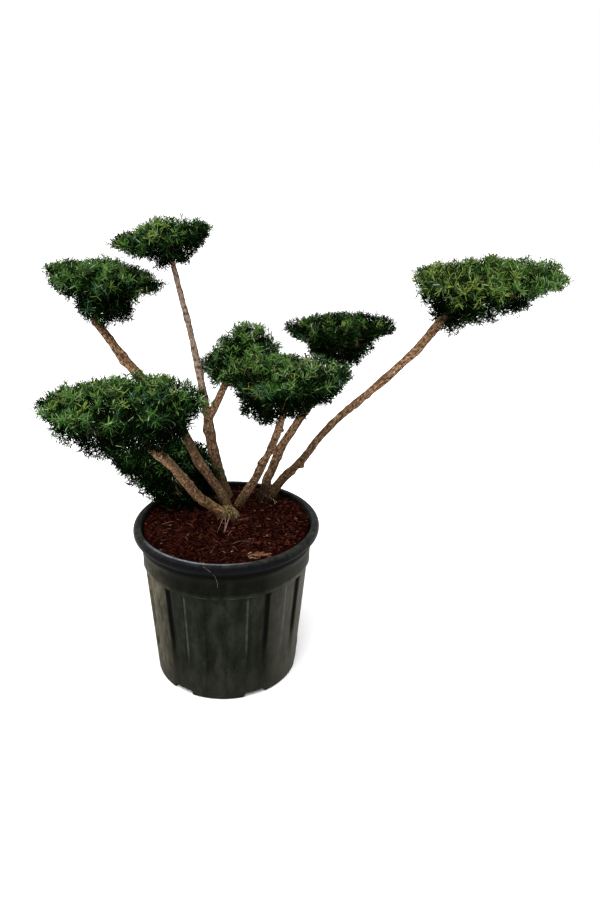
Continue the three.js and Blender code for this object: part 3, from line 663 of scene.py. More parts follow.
def bark_material(name, gain, foot_shade, grey):
    """Orange-tan bark with dark brown mottles, painted shade on the side away from the light, at
    the shaded spots and towards its foot, and mossy near the soil. "gain" is how pale it is, "grey" how grey
    it gets high up."""
    skin = Surface(name, 0.86, 0.06)
    grain = skin.add("Attribute", "Vector", attribute_name="grain")
    place = skin.place()
    height = skin.axis("Z", place)
    flakes = skin.noise(grain, 230, 6, 0.75, (1.1, 1.1, 0.55))
    skin.colour = skin.ramp(flakes, [(at, tuple(gain * c for c in tone)) for at, tone in BARK_TONES])
    warm = skin.noise(grain, 34, 4, 0.6, (1, 1, 0.6))
    skin.paint(skin.ranged(warm, 0.5, 0.62, 0, 0.6), (0.15 * gain, 0.078 * gain, 0.036 * gain))
    high = skin.ranged(height, 0.6, 0.8, 0, grey)
    skin.paint(skin.times(high, skin.ranged(flakes, 0.36, 0.55, 0.4, 1)), (0.255, 0.205, 0.175))
    mottles = skin.noise(grain, 100, 6, 0.75, (1, 1, 0.9))
    skin.paint(skin.ranged(mottles, 0.51, 0.57, 0, 0.9), (0.024, 0.013, 0.007))
    # Painted shade on the side facing +X, away from the light
    facing = skin.vector_math("DOT_PRODUCT", skin.add("NewGeometry", "Normal"), (0.93, 0.1, -0.35))
    skin.paint(skin.ranged(facing, 0.5, 0.98, 0, 0.85), (0.03, 0.017, 0.01))
    # Painted shade at each spot
    for spot, reach, depth in PAINTED_SHADE_SPOTS:
        near = skin.ranged(skin.vector_math("DISTANCE", place, spot), reach, 0.35 * reach, 0, depth)
        skin.paint(skin.times(near, skin.ranged(warm, 0.42, 0.56, 0.45, 1)), (0.034, 0.018, 0.009))
    lichen = skin.noise(place, 60, 5, 0.7)
    skin.paint(skin.ranged(lichen, 0.6, 0.7, 0, 0.5), (0.215, 0.195, 0.115))
    # Painted shade towards the foot
    skin.paint(skin.ranged(height, 0.78, 0.46, 0, foot_shade), (0.026, 0.015, 0.008))
    low = skin.ranged(height, SOIL_TOP + 0.085, SOIL_TOP, 0, 0.8)
    moss = skin.ranged(skin.noise(place, 95, 5, 0.7), 0.46, 0.6)
    skin.paint(skin.times(low, moss), (0.11, 0.08, 0.02))
    return skin.finish(flakes, 0.9, 0.0016)


def pot_material():
    """Dull black moulded plastic: streaks, dust at the sides with a painted grazing reflection on the right,
    painted highlights on flute edges and painted shade in corners.
    """
    skin = Surface("black_pot_plastic", None, 0.012)
    place = skin.place()
    streaks = skin.noise(place, 34, 6, 0.7, (1, 1, 0.35))
    blotches = skin.noise(place, 9, 5, 0.65)
    grit = skin.noise(place, 210, 3, 0.6)
    fine = skin.noise(place, 75, 6, 0.75, (1, 1, 0.35))
    skin.colour = skin.ramp(streaks, ((0.36, (0.0042, 0.005, 0.0032)), (0.5, (0.0078, 0.0088, 0.0062)),
                                      (0.66, (0.015, 0.0163, 0.0118))))
    across = skin.axis("X", place)
    left = skin.ranged(across, -0.125, -0.205)
    dust = skin.ramp(fine, ((0.38, (0.028, 0.025, 0.016)), (0.62, (0.142, 0.124, 0.08))))
    skin.paint(skin.times(left, skin.ranged(blotches, 0.38, 0.58, 0.45, 1.0)), dust)
    # Dust and a painted grazing reflection down the right side
    skin.paint(skin.times(skin.ranged(across, 0.11, 0.215, 0, 0.85), fine), (0.125, 0.12, 0.095))
    low = skin.ranged(skin.axis("Z", place), 0.12, 0.01, 0, 0.3)
    skin.paint(skin.times(low, blotches), (0.03, 0.026, 0.018))
    skin.paint(skin.ranged(grit, 0.62, 0.72, 0, 0.45), (0.04, 0.038, 0.03))
    dust_and_painted_light = skin.add("Attribute", "Fac", attribute_name="dust_and_painted_light")
    # Painted highlights on the flute edges with the dusty ledge line where the values are positive, painted
    # shade where they are negative
    patchy = skin.ranged(skin.noise(place, 60, 4, 0.6), 0.35, 0.6, 0.35, 1)
    skin.paint(skin.times(patchy, skin.ranged(dust_and_painted_light, 0.1, 0.9, 0, 0.75)), (0.115, 0.118, 0.104))
    skin.paint(skin.ranged(dust_and_painted_light, -0.15, -0.85, 0, 0.95), (0.0012, 0.0014, 0.0011))
    skin.set_shader("Roughness", skin.ranged(streaks, 0.3, 0.7, 0.4, 0.58))
    return skin.finish(grit, 0.15, 0.0005)


def rim_material():
    """The rolled rim: the same plastic, with painted shade on its front face and a painted cool
    highlight along its inner edge at the front left."""
    skin = Surface("black_rim_plastic", None, 0.015)
    place = skin.place()
    normal = skin.add("NewGeometry", "Normal")
    scuffs = skin.noise(place, 70, 5, 0.65)
    skin.colour = skin.ramp(scuffs, ((0.34, (0.0088, 0.009, 0.0078)), (0.58, (0.0245, 0.025, 0.022)),
                                     (0.78, (0.052, 0.053, 0.0465))))
    # Painted shade on the faces that look to the front
    skin.paint(skin.ranged(skin.axis("Y", normal), -0.2, -0.75, 0, 0.9), (0.0013, 0.0018, 0.0028))
    # A painted cool highlight along the inner top edge, strongest at the front left
    radius = skin.vector_math("LENGTH", skin.vector_math("MULTIPLY", place, (1, 1, 0)))
    toward = skin.vector_math("DOT_PRODUCT", place, (-0.36, -0.933, 0))
    edge = skin.times(skin.ranged(radius, 0.245, 0.2425),
                      skin.ranged(skin.axis("Z", normal), 0.88, 0.98))
    shine = skin.times(skin.ranged(toward, 0.18, 0.238), skin.ranged(scuffs, 0.36, 0.62, 0.45, 1))
    skin.paint(skin.times(edge, shine), (0.19, 0.215, 0.25))
    skin.set_shader("Roughness", skin.ranged(scuffs, 0.35, 0.7, 0.3, 0.45))
    return skin.finish(scuffs, 0.08, 0.0006)


# The pot

def arc(radius, height, size, first, last, count):
    """Points (radius, height) on an arc, its angles in degrees from the outward level."""
    angles = np.radians(np.linspace(first, last, count))
    return [(radius + size * math.cos(a), height + size * math.sin(a)) for a in angles]


def wall_radius(height):
    return FOOT_RADIUS + (WALL_TOP_RADIUS - FOOT_RADIUS) * height / LEDGE_HEIGHT


def pot_profile():
    """The pot's section from the middle of its underside, up the outside and down the inside."""
    disc, skirt, lip = FLOOR_DISC_RADIUS, SKIRT_INNER_RADIUS, LIP_RADIUS
    ledge, channel, thick = LEDGE_HEIGHT, CHANNEL_HEIGHT, FLOOR_THICKNESS
    inner = BAND_RADIUS - WALL_THICKNESS
    return np.vstack([
        [(AXIS_GAP, 0), (0.06, 0), (0.12, 0), (disc - 0.002, 0), (disc, 0.002)],
        [(disc + 0.003, channel - 0.002), (disc + 0.006, channel), (skirt - 0.003, channel)],
        [(skirt, channel - 0.003), (skirt + 0.001, 0.003), (skirt + 0.002, 0), (FOOT_RADIUS - 0.0045, 0)],
        arc(wall_radius(0.006) - 0.006, 0.0065, 0.0062, -70, -8, 5),
        [(wall_radius(z), z) for z in np.linspace(0.012, ledge - 0.004, 34)],
        (WALL_TOP_RADIUS - 0.0002, ledge - 0.0012),
        arc(BAND_RADIUS - 0.0018, ledge + 0.0014, 0.0022, -88, 0, 5),
        [(BAND_RADIUS + 0.003 * s ** 1.5, ledge + 0.004 + 0.042 * s) for s in (0.2, 0.4, 0.6, 0.8, 1)],
        np.array(COLLAR) / MILLIMETRES,
        [(ROLL_CENTRE[0] + ROLL_RADII[0] * math.cos(a), ROLL_CENTRE[1] + ROLL_RADII[1] * math.sin(a))
         for a in np.radians(np.arange(12, 91, 13))],
        (lip + 0.006, POT_HEIGHT - 0.0001),
        arc(lip + 0.0045, POT_HEIGHT - 0.0045, 0.0045, 100, 175, 6),
        [(lip - 0.0012, POT_HEIGHT - 0.012), (lip - 0.002, SOIL_TOP - 0.012)],
        [(inner + 0.002, ledge + 0.05), (inner - 0.002, ledge + 0.006)],
        [(wall_radius(z) - WALL_THICKNESS, z) for z in np.linspace(ledge - 0.004, 0.03, 8)],
        [(wall_radius(0.02) - WALL_THICKNESS - 0.002, channel + thick), (disc - 0.004, channel + thick)],
        [(disc - 0.008, thick), (0.08, thick), (AXIS_GAP, thick)],
    ])


def off_middle(angles, count):
    """Degrees from the middle of the nearest flute or notch, of so many round the pot."""
    period = 360.0 / count
    return (angles - FLUTE_FIRST_ANGLE + period / 2) % period - period / 2


def pot_columns():
    """Bearings of the columns, close together where a flute or a notch has its edge."""
    angles = [np.arange(0, 360, 2.5)]
    for count, half, side, reach in ((FLUTE_COUNT, FLUTE_HALF_ANGLE, FLUTE_SIDE_ANGLE, 2.4),
                                     (NOTCH_COUNT, NOTCH_HALF_ANGLE, NOTCH_SIDE_ANGLE, 0.9)):
        for i in range(count):
            for way in (-1, 1):
                edge = FLUTE_FIRST_ANGLE + 360.0 / count * i + way * (half - side / 2)
                angles.append(edge + np.arange(-reach, reach + 0.01, 0.3))
    angles = np.sort(np.concatenate(angles) % 360)
    return angles[np.diff(angles, append=angles[0] + 360) > 0.12]


def flute_side(angles):
    """How far in from a flute's edge a bearing is, counted in widths of its sloping side."""
    return (FLUTE_HALF_ANGLE - np.abs(off_middle(angles, FLUTE_COUNT))) / FLUTE_SIDE_ANGLE


def flute_share(angles, heights):
    """How deep in a flute a place of the wall is, from 0 to 1, with rounded edges."""
    side = 0.5 + 0.5 * np.tanh(3.6 * (flute_side(angles) - 0.5)) / math.tanh(1.8)
    low = np.clip((heights - FLUTE_LOW_END) / (FLUTE_LOW_FULL - FLUTE_LOW_END), 0, 1)
    low = low * low * (3 - 2 * low)
    top = np.clip((LEDGE_HEIGHT - 0.001 - heights) / 0.004, 0, 1)
    return np.clip(side, 0, 1) * low * top


def edge_dust_and_light(angles, heights):
    """Painted highlights on the flutes' edges and a dusty pale line along the ledge, 1, or painted shade
    in the flutes' corners, under the ledge, on the band and under the rim, -1.
    """
    side, above = flute_side(angles), heights - LEDGE_HEIGHT
    low = np.clip((heights - FLUTE_LOW_END - 0.02) / 0.1, 0, 1) * (heights < LEDGE_HEIGHT - 0.001)
    uneven = np.clip(0.5 + 0.9 * noise(joined(angles * 0.11, heights * 9, 0), 61), 0, 1)
    edge = np.floor((angles - FLUTE_FIRST_ANGLE + 180 / FLUTE_COUNT) % 360 * FLUTE_COUNT / 180)
    glint_strength, shade_strength = (np.array(table)[edge.astype(int) % len(table)] for table in (EDGE_HIGHLIGHT, CORNER_SHADE))
    # Painted highlight on the outer edge of each flute's side, painted shade in its corner
    edge_glint = np.exp(-((side + 0.15) / 0.85) ** 2) * low * (0.5 + 0.5 * uneven) * glint_strength
    corner = np.exp(-((side - 1.0) / 1.1) ** 2) * low * shade_strength
    # Painted shade under the ledge, over the whole band and in the crease under the rim
    under_ledge = np.exp(-((above + 0.004) / 0.004) ** 2)
    ledge = np.exp(-((above - 0.002) / 0.0018) ** 2)
    band = np.clip((above - 0.006) / 0.006, 0, 1)
    wobble = 0.0022 * noise(joined(angles * 0.13, 0, 0), 67)
    under_rim = np.exp(-np.abs((heights - 0.3885 - wobble) / 0.0085) ** 4)
    return np.clip(0.75 * edge_glint + 0.4 * ledge * uneven - 0.9 * corner - 0.3 * under_ledge - 0.62 * band
                   - 1.2 * under_rim, -1, 1)


def build_pot():
    profile, angles = pot_profile(), pot_columns()
    radius, height, turn = np.broadcast_arrays(profile[:, :1], profile[:, 1:], angles)
    on_wall = radius > wall_radius(height) - WALL_THICKNESS - 0.001
    radius = radius - np.where(on_wall, FLUTE_DEPTH * flute_share(turn, height), 0)
    lift = (NOTCH_HALF_ANGLE - np.abs(off_middle(turn, NOTCH_COUNT))) / NOTCH_SIDE_ANGLE
    lift = NOTCH_HEIGHT * np.clip(lift, 0, 1) ** 0.75
    height = np.where((radius > SKIRT_INNER_RADIUS - 0.004) & (height < lift), lift, height)
    radius = radius + 0.0007 * np.sin(np.radians(2 * turn) + 0.8) * (height / POT_HEIGHT)
    radius += np.where(np.abs(height - LEDGE_HEIGHT) < 0.012, 0.0004 * np.sin(np.radians(23 * turn)), 0)
    bearing = np.radians(turn)
    shell = joined(radius * np.sin(bearing), -radius * np.cos(bearing), height).reshape(-1, 3)
    vertices = np.vstack([shell, (0, 0, 0), (0, 0, FLOOR_THICKNESS)])
    triangles = capped_triangles(len(profile), len(angles))
    on_rim = np.all(vertices[triangles][..., 2] > RIM_FOOT_HEIGHT, axis=1)
    piece = mesh_piece("pot_shell", "pot", vertices, triangles, [pot_material(), rim_material()],
                       slots=on_rim, replaced=("pot",))
    outside = radius > np.maximum(wall_radius(height) - 0.0105, 0.17)
    # Painted highlights and painted shade on the outer wall, with the dusty ledge line
    dust_and_painted_light = np.where(outside, edge_dust_and_light(turn, height), 0)
    add_values(piece, "dust_and_painted_light", np.append(dust_and_painted_light, [0, 0]), "FLOAT", "value")


# The soil

def soil_height(x, y):
    """Height of the mulch's surface: lumpy, and lower at the pot's wall."""
    edge = (np.hypot(x, y) - SOIL_PLATEAU_RADIUS) / (SOIL_RADIUS - SOIL_PLATEAU_RADIUS)
    flat = joined(x, y, 0)
    relief = 0.7 * layered_noise(flat * 38, 5) + 0.4 * layered_noise(flat * 210, 9, 2)
    return SOIL_TOP - 0.001 - SOIL_EDGE_DROP * np.clip(edge, 0, 1) ** 1.5 + SOIL_RELIEF * relief


def laid(places, above):
    """Points over given places, at a height above the soil."""
    x, y = places[:, 0], places[:, 1]
    return joined(x, y, soil_height(x, y) + above)


def strewn(random, count, reach):
    """Random places on the soil, out to a radius."""
    radius = reach * np.sqrt(random.uniform(0, 1, (count, 1)))
    return radius * level(random.uniform(0, FULL_TURN, count))


def build_soil():
    radii = SOIL_RADIUS * np.sqrt(np.linspace(0.0001, 1, SOIL_RINGS))[:, None]
    turn = np.linspace(0, FULL_TURN, SOIL_COLUMNS, endpoint=False)[::-1]
    x, y = radii * np.cos(turn), radii * np.sin(turn)
    low = SOIL_TOP - SOIL_DEPTH
    vertices = np.vstack([joined(x, y, soil_height(x, y)).reshape(-1, 3), joined(x[-1], y[-1], low),
                          (0, 0, SOIL_TOP - 0.001), (0, 0, low)])
    mesh_piece("soil_bed", "soil", vertices, capped_triangles(SOIL_RINGS + 1, SOIL_COLUMNS),
               [soil_material()], replaced=("soil",))


def chip_shapes(centres, yaw, pitch, roll, lengths, widths, thickness, bow, random):
    """Slivers of bark: four-sided, thick in the middle, bowed, with ragged ends."""
    count = len(centres)
    lengths, widths, thickness, bow = (a[:, None] for a in (lengths, widths, thickness, bow))
    stations = np.array([-0.5, -0.22, 0.2, 0.5])
    corner = np.array([[-0.5, -0.5], [0.5, -0.5], [0.5, 0.5], [-0.5, 0.5]])
    fullness = np.array([0.35, 1.0, 0.9, 0.3]) * (1 + 0.35 * random.uniform(-1, 1, (count, 4)))
    slide = widths * 0.4 * random.uniform(-1, 1, (count, 4))
    lift = bow * (0.25 - stations ** 2)
    across = slide[..., None] + (widths * fullness)[..., None] * corner[:, 0]
    raised = lift[..., None] + (thickness * fullness)[..., None] * corner[:, 1]
    ahead = level(yaw) * np.cos(pitch)[:, None] + UP * np.sin(pitch)[:, None]
    side = joined(-np.sin(yaw), np.cos(yaw), 0.0)
    tilted = side * np.cos(roll)[:, None] + np.cross(ahead, side) * np.sin(roll)[:, None]
    up = np.cross(ahead, tilted)
    ahead, tilted, up = (a[:, None, None] for a in (ahead, tilted, up))
    placed = (stations * lengths)[..., None, None] * ahead + across[..., None] * tilted
    placed = placed + raised[..., None] * up
    return placed.reshape(count, 16, 3) + centres[:, None]


def build_mulch(random):
    """Chips of red-brown bark strewn over the soil, with tan chips and pale slivers among them."""
    pile, faces, count = Pile(), tube_triangles(4, 4), CHIP_COUNT
    places = strewn(random, count, SOIL_RADIUS - 0.006)
    lengths = 0.005 + 0.017 * random.beta(1.2, 3.6, count)
    widths = lengths * random.uniform(0.12, 0.34, count)
    thickness = np.minimum(widths * 0.6, random.uniform(0.0006, 0.0016, count))
    chips = chip_shapes(laid(places, random.uniform(-0.0005, 0.0032, count)),
                        random.uniform(0, FULL_TURN, count), random.normal(0, 0.22, count),
                        random.normal(0, 0.5, count), lengths, widths, thickness,
                        lengths * random.uniform(-0.1, 0.25, count), random)
    clear = np.max(np.linalg.norm(chips[..., :2], axis=2), axis=1) < SOIL_RADIUS + 0.0005
    kinds = random.choice(len(CHIP_SHARES), count, p=CHIP_SHARES)
    pile.add(chips[clear], faces, kinds[clear])

    count = TAN_COUNT
    places = random.normal(0, 1, (count, 2)) * TAN_SPREAD + TAN_PLACE
    lengths = random.uniform(0.006, 0.016, count)
    chips = chip_shapes(laid(places, random.uniform(0.001, 0.004, count)),
                        random.uniform(0, FULL_TURN, count), random.normal(0, 0.25, count),
                        random.normal(0, 0.4, count), lengths, lengths * 0.3, lengths * 0.08,
                        lengths * 0.1, random)
    pile.add(chips, faces, random.choice(len(TAN_SHARES), count, p=TAN_SHARES))

    count = len(SLIVERS)
    lengths = random.uniform(0.008, 0.015, count)
    chips = chip_shapes(laid(np.array(SLIVERS) / MILLIMETRES, 0.004), random.uniform(1.2, 2.6, count),
                        random.uniform(0.1, 0.7, count), random.normal(0, 0.4, count), lengths,
                        lengths * 0.13, lengths * 0.07, lengths * 0.15, random)
    pile.add(chips, faces, PALE_CHIP)
    materials = [chip_material(name, *tones) for name, tones in CHIP_TONES.items()]
    pile.piece("bark_mulch", "soil", materials, smooth=False)


def build_fibres(random):
    """Fibres on the mulch, and the straw over the rim."""
    pile, count = Pile(), FIBRE_COUNT
    places = strewn(random, count, SOIL_RADIUS - 0.03)
    way = level(random.uniform(0, FULL_TURN, count))
    reach = random.uniform(0.006, 0.02, (count, 1))
    middle = laid(places, random.uniform(0.003, 0.007, count))
    start, end = middle - way * reach - 0.004 * UP, middle + way * reach - 0.003 * UP
    swing = side_vectors(way * reach, random) * reach * random.uniform(-0.5, 0.5, (count, 1))
    swing[:, 2] = np.abs(swing[:, 2]) * 0.3
    thin = random.uniform(0.00022, 0.0005, (count, 1)) * [0.6, 1, 1, 0.9, 0.5]
    pile.add_tubes(bend(start, middle + swing, end, 5), thin, random.choice(2, count, p=[0.88, 0.12]))
    straw, _ = smooth_path(np.array(STRAW) / MILLIMETRES, 0.003)
    pile.add_tubes(straw[None], STRAW_RADIUS, PALE_FIBRE)
    materials = [chip_material(name, *tones) for name, tones in FIBRE_TONES.items()]
    pile.piece("mulch_fibres", "soil", materials)


# Feet and limbs

def limb_path(limb, step):
    return smooth_path(np.array(limb["through"]) / MILLIMETRES, step)


def limb_radius(limb, share):
    places, diameters = zip(*limb["girth"])
    return 0.5 * np.interp(share, places, np.array(diameters) / MILLIMETRES)


def bark_relief(grain, seed):
    """Height of the bark at straightened points: lumps, lengthwise flakes and fine cracks."""
    lumps = layered_noise(grain * [60, 60, 38], seed, 2)
    flakes = noise(grain * [260, 260, 110], seed + 11)
    rings = noise(grain * [26, 26, 120], seed + 17)
    cracks = 1 - np.abs(noise(grain * [330, 330, 90], seed + 23))
    return BARK_RELIEF * (1.25 * lumps + 0.5 * flakes + 0.25 * rings
                          - 0.6 * np.clip(cracks - 0.72, 0, 1) / 0.28)


def build_limb(name, material, seed):
    """A tapering tube with the bark's relief and healed knots, its foot a little under the mulch."""
    limb, random = LIMBS[name], np.random.default_rng(seed)
    path, length = limb_path(limb, RING_STEP)
    normals, binormals = path_frames(path)
    rings = len(path)
    share = np.linspace(0, 1, rings)
    turn = np.linspace(0, FULL_TURN, LIMB_SIDES, endpoint=False)
    wide, along = limb_radius(limb, share)[:, None], (share * length)[:, None]
    grain = joined(wide * np.cos(turn), wide * np.sin(turn), along + seed)
    relief = bark_relief(grain, seed)
    sway = 0.0009 * layered_noise(joined(along * 30, 0, seed), seed + 5)

    def distance(bearing, place, stretch, spread):
        """How far each vertex is from a place on the bark, in spreads."""
        gap = (turn - bearing + math.pi) % FULL_TURN - math.pi
        return np.hypot(gap * wide, stretch * (along - place)) / spread

    knots = int(round(KNOTS_PER_METRE * length))
    for place, bearing, size in zip(random.uniform(0.04, 0.97, knots) * length,
                                    random.uniform(0, FULL_TURN, knots),
                                    random.uniform(0.45, 1.15, knots)):
        apart = distance(bearing, place, 0.85, KNOT_WIDTH * size)
        relief += KNOT_HEIGHT * size * (np.exp(-apart ** 2) - 0.75 * np.exp(-(2.6 * apart) ** 2))
    for place, facing, height, spread in limb.get("knobs", ()):
        row = int(place * (rings - 1))
        bearing = math.atan2(np.dot(facing, binormals[row]), np.dot(facing, normals[row]))
        apart = distance(bearing, place * length, 1, spread / MILLIMETRES)
        relief += height / MILLIMETRES * np.exp(-apart ** 2)
    outward = np.cos(turn)[:, None] * normals[:, None] + np.sin(turn)[:, None] * binormals[:, None]
    shell = path[:, None] + (wide + relief + sway)[..., None] * outward
    piece = mesh_piece("bark_" + name, "bark", np.vstack([shell.reshape(-1, 3), path[0], path[-1]]),
                       capped_triangles(rings, LIMB_SIDES), [material], replaced=(name,))
    grain = np.vstack([grain.reshape(-1, 3), (0, 0, seed), (0, 0, length + seed)])
    add_values(piece, "grain", grain, "FLOAT_VECTOR", "vector")


class Foot:
    """A knobbly, mossy mound that the stems spring from."""

    def __init__(self, name):
        self.name = name
        self.table = FEET[name]
        x, y, self.radius, self.height = (
            size / MILLIMETRES for size in (*self.table["at"], self.table["radius"], self.table["height"]))
        self.centre = np.array([x, y, SOIL_TOP])

    def build(self, material, seed):
        rings = np.linspace(0, 1, FOOT_RINGS)
        wide, high = (np.interp(rings, np.linspace(0, 1, len(part)), part)[:, None]
                      for part in zip(*FOOT_SECTION))
        turn = np.linspace(0, FULL_TURN, FOOT_SIDES, endpoint=False)
        radius = wide * self.radius * (1 + 0.05 * np.cos(3 * turn + seed))
        points = joined(radius * np.cos(turn), radius * np.sin(turn), high * self.height).reshape(-1, 3)
        lumps = (self.table["rough"] * layered_noise(points * 85, seed) * 0.0042
                 + layered_noise(points * 260, seed + 3) * 0.0018)
        points = points + unit(points * [1, 1, 0.6]) * lumps[:, None]
        points = np.vstack([points, UP * FOOT_SECTION[0][1] * self.height, UP * self.height])
        mesh_piece("bark_" + self.name, "bark", points + self.centre,
                   capped_triangles(FOOT_RINGS, FOOT_SIDES), [material], replaced=(self.name,))

    def build_fibres(self, materials, random):
        """Dead fibres and rootlets that hang down the foot onto the mulch."""
        pile, count = Pile(), FOOT_HAIRS
        way = level(random.uniform(0, FULL_TURN, count))
        high = random.uniform(0.35, 0.95, (count, 1))
        wide = self.radius * np.interp(high, [0.3, 0.75, 1], [0.9, 0.64, 0.3])
        start = self.centre + way * wide + UP * (high * self.height)
        reach = self.radius * random.uniform(0.85, 1.15, (count, 1))
        slip = random.normal(0, 0.006, (count, 3)) * [1, 1, 0]
        end = laid(self.centre + way * reach + slip, random.uniform(0, 0.003, count))
        middle = 0.5 * (start + end) + way * random.uniform(0.002, 0.007, (count, 1)) + 0.5 * slip
        thin = random.uniform(0.0003, 0.0008, (count, 1)) * [0.8, 1, 1, 0.8, 0.4]
        pile.add_tubes(bend(start, middle, end, 5), thin, 0)
        if self.name == "foot_right":
            count = ROOTLETS
            way = level(random.uniform(math.pi, FULL_TURN, count))
            start = (self.centre + way * [0.014, 0.008, 0] + [0, -0.004, 0]
                     + random.uniform(0.01, 0.05, (count, 1)) * UP)
            end = laid(self.centre + way * random.uniform(0.018, 0.036, (count, 1))
                       + random.normal(0, 0.006, (count, 3)), -0.002)
            middle = 0.5 * (start + end) + random.normal(0, 0.006, (count, 3)) + [0, 0, 0.003]
            thick = random.uniform(0.0005, 0.0014, (count, 1)) * [0.8, 1.1, 0.9, 1.0, 0.5]
            pile.add_tubes(bend(start, middle, end, 5), thick, 0, sides=5)
        if self.name == "foot_left":
            count = LONG_HAIRS
            start = (self.centre + [0.0, -0.02, 0.016]
                     + random.normal(0, 1, (count, 3)) * [0.007, 0.002, 0.003])
            end = laid([-0.006, -0.048, 0.0] + random.normal(0, 1, (count, 3)) * [0.009, 0.014, 0], 0.0015)
            middle = 0.5 * (start + end) + [0, -0.004, 0.004]
            pile.add_tubes(bend(start, middle, end, 5), LONG_HAIR_RADIUS, 1)
        pile.piece("fibres_" + self.name, "bark", materials)


# Foliage

class Mass:
    """A clipped mass: a lens round its rim, down to the tip of its bough."""

    def __init__(self, name):
        self.name = name
        for key, value in {**USUAL_MASS, **MASSES[name]}.items():
            setattr(self, key, value)
        self.rim, self.across, self.deep, self.dome, self.pushes = (
            np.array(size) / MILLIMETRES
            for size in (self.rim, self.across, self.deep, self.dome, self.pushes))
        self.lean = math.sin(math.radians(self.tilt))
        path, _ = limb_path(LIMBS[self.bough], RING_STEP)
        self.tip, self.heading = path[-1], unit(path[-1] - path[-3])
        self.tip_radius = limb_radius(LIMBS[self.bough], 1)
        self.foot = self.tip - self.rim
        self.foot_drop = self.foot[2] - self.foot[0] * self.lean

    def pushed(self, points, way=1):
        """Points moved by the mass's own dents and bulges, or about back again."""
        for x, z, dx, dz, spread in self.pushes:
            weight = np.exp(-((points[..., 0] - x) ** 2 + (points[..., 2] - z) ** 2) / spread ** 2)
            points = points + way * weight[..., None] * np.array([dx, 0, dz])
        return points

    def skin_points(self, ring, turn, on_top):
        """Points of the skin: ring is 0 in the middle and 1 at the rim, turn runs round it."""
        top_fullness, low_fullness = self.fullness
        x, y = self.across * np.cos(turn), self.deep * np.sin(turn)
        top = joined(ring * x, ring * y, self.dome * (1 - ring ** top_fullness) + ring * x * self.lean)
        x, y = (foot + (at - foot) * ring for at, foot in zip((x, y), self.foot))
        low = joined(x, y, self.foot_drop * (1 - ring ** low_fullness) + x * self.lean)
        return self.pushed(self.rim + np.where(on_top[..., None], top, low))

    def skin_normals(self, ring, turn, on_top):
        here = self.skin_points(ring, turn, on_top)
        inward = self.skin_points(np.maximum(ring - 0.02, 0.01), turn, on_top)
        beside = self.skin_points(ring, turn + 0.02, on_top)
        normals = unit(np.cross(here - inward, beside - here))
        wrong = np.where(on_top, 1, -1) * normals[..., 2] < 0
        return normals * np.where(wrong, -1, 1)[..., None]

    def skin_places(self, random):
        """Evenly spread places on the skin: a ring of them round the rim, then one by one, each
        of them the one of several tries that is farthest from the rest."""
        depth_ratio = (self.rim[2] - self.tip[2]) / self.across
        area = math.pi * self.across * self.deep * (1.1 + 0.8 * depth_ratio)
        count = int(round(self.density * area / SHOOT_AREA))
        rim_count = int(round(math.pi * (self.across + self.deep) / RIM_SPACING))
        turn = FULL_TURN * (np.arange(rim_count) + 0.8 * random.uniform(0, 1, rim_count)) / rim_count
        ring = np.ones(rim_count)
        points, normals = np.empty((2, count, 3))
        points[:rim_count] = self.skin_points(ring, turn, ring > 0)
        normals[:rim_count] = unit(points[:rim_count] - self.rim)
        tried = (count - rim_count, PLACE_TRIES)
        on_top = random.uniform(0, 1, tried) < 1.1 / (1.35 + 0.8 * depth_ratio)
        chance = random.uniform(0, 1, tried)
        ring = np.where(on_top, np.sqrt(chance), np.sqrt(0.06 + 0.94 * chance))
        turn = random.uniform(0, FULL_TURN, tried)
        options = self.skin_points(ring, turn, on_top)
        facing = self.skin_normals(ring, turn, on_top)
        for i in range(rim_count, count):
            choice = options[i - rim_count]
            room = np.min(np.linalg.norm(choice[:, None] - points[:i], axis=2), axis=1)
            best = int(np.argmax(room))
            points[i], normals[i] = choice[best], facing[i - rim_count, best]
        return points, normals

    def holds(self, points, margin):
        """True where a point lies in the lens grown by a margin."""
        top_fullness, low_fullness = self.fullness
        offset = self.pushed(points, -1) - self.rim
        x, y = offset[:, 0], offset[:, 1]
        z = offset[:, 2] - x * self.lean
        across, deep = self.across + margin, self.deep + margin
        ring = np.hypot(x / across, y / deep)
        under_top = (ring < 1) & (z < self.dome * (1 - np.minimum(ring, 1) ** top_fullness) + margin)
        over_low = np.zeros(len(points), dtype=bool)
        unsettled = np.ones(len(points), dtype=bool)
        for low in np.arange(0, 1.001, 0.05):
            px = (x - self.foot[0] * (1 - low)) / across
            py = (y - self.foot[1] * (1 - low)) / deep
            reached = unsettled & (np.hypot(px, py) <= low)
            over_low[reached] = z[reached] > self.foot_drop * (1 - low ** low_fullness) - margin
            unsettled &= ~reached
        return under_top & over_low

    def deal_tints(self, points, normals, layer, hollow, random):
        """Which tint each shoot takes: painted light on top, painted shade below, inside and in hollows, some
        cool or dry.
        """
        count = len(points)
        aside = (points[:, 0] - self.rim[0]) / self.across
        height = (points[:, 2] - self.tip[2]) / (self.rim[2] + self.dome - self.tip[2])
        # Painted light: brighter where it faces up, higher on the mass and by the mass's own light
        bright = 0.6 * np.clip(normals[:, 2], -0.8, 1) + self.fade * (height - self.pivot)
        bright += 0.4 * (self.light - 0.25) + 0.25 * self.light * np.clip(4 * height - 3, 0, 1)
        bright += 0.26 * layered_noise(points * 24, 31) + 0.3 * random.normal(size=count)
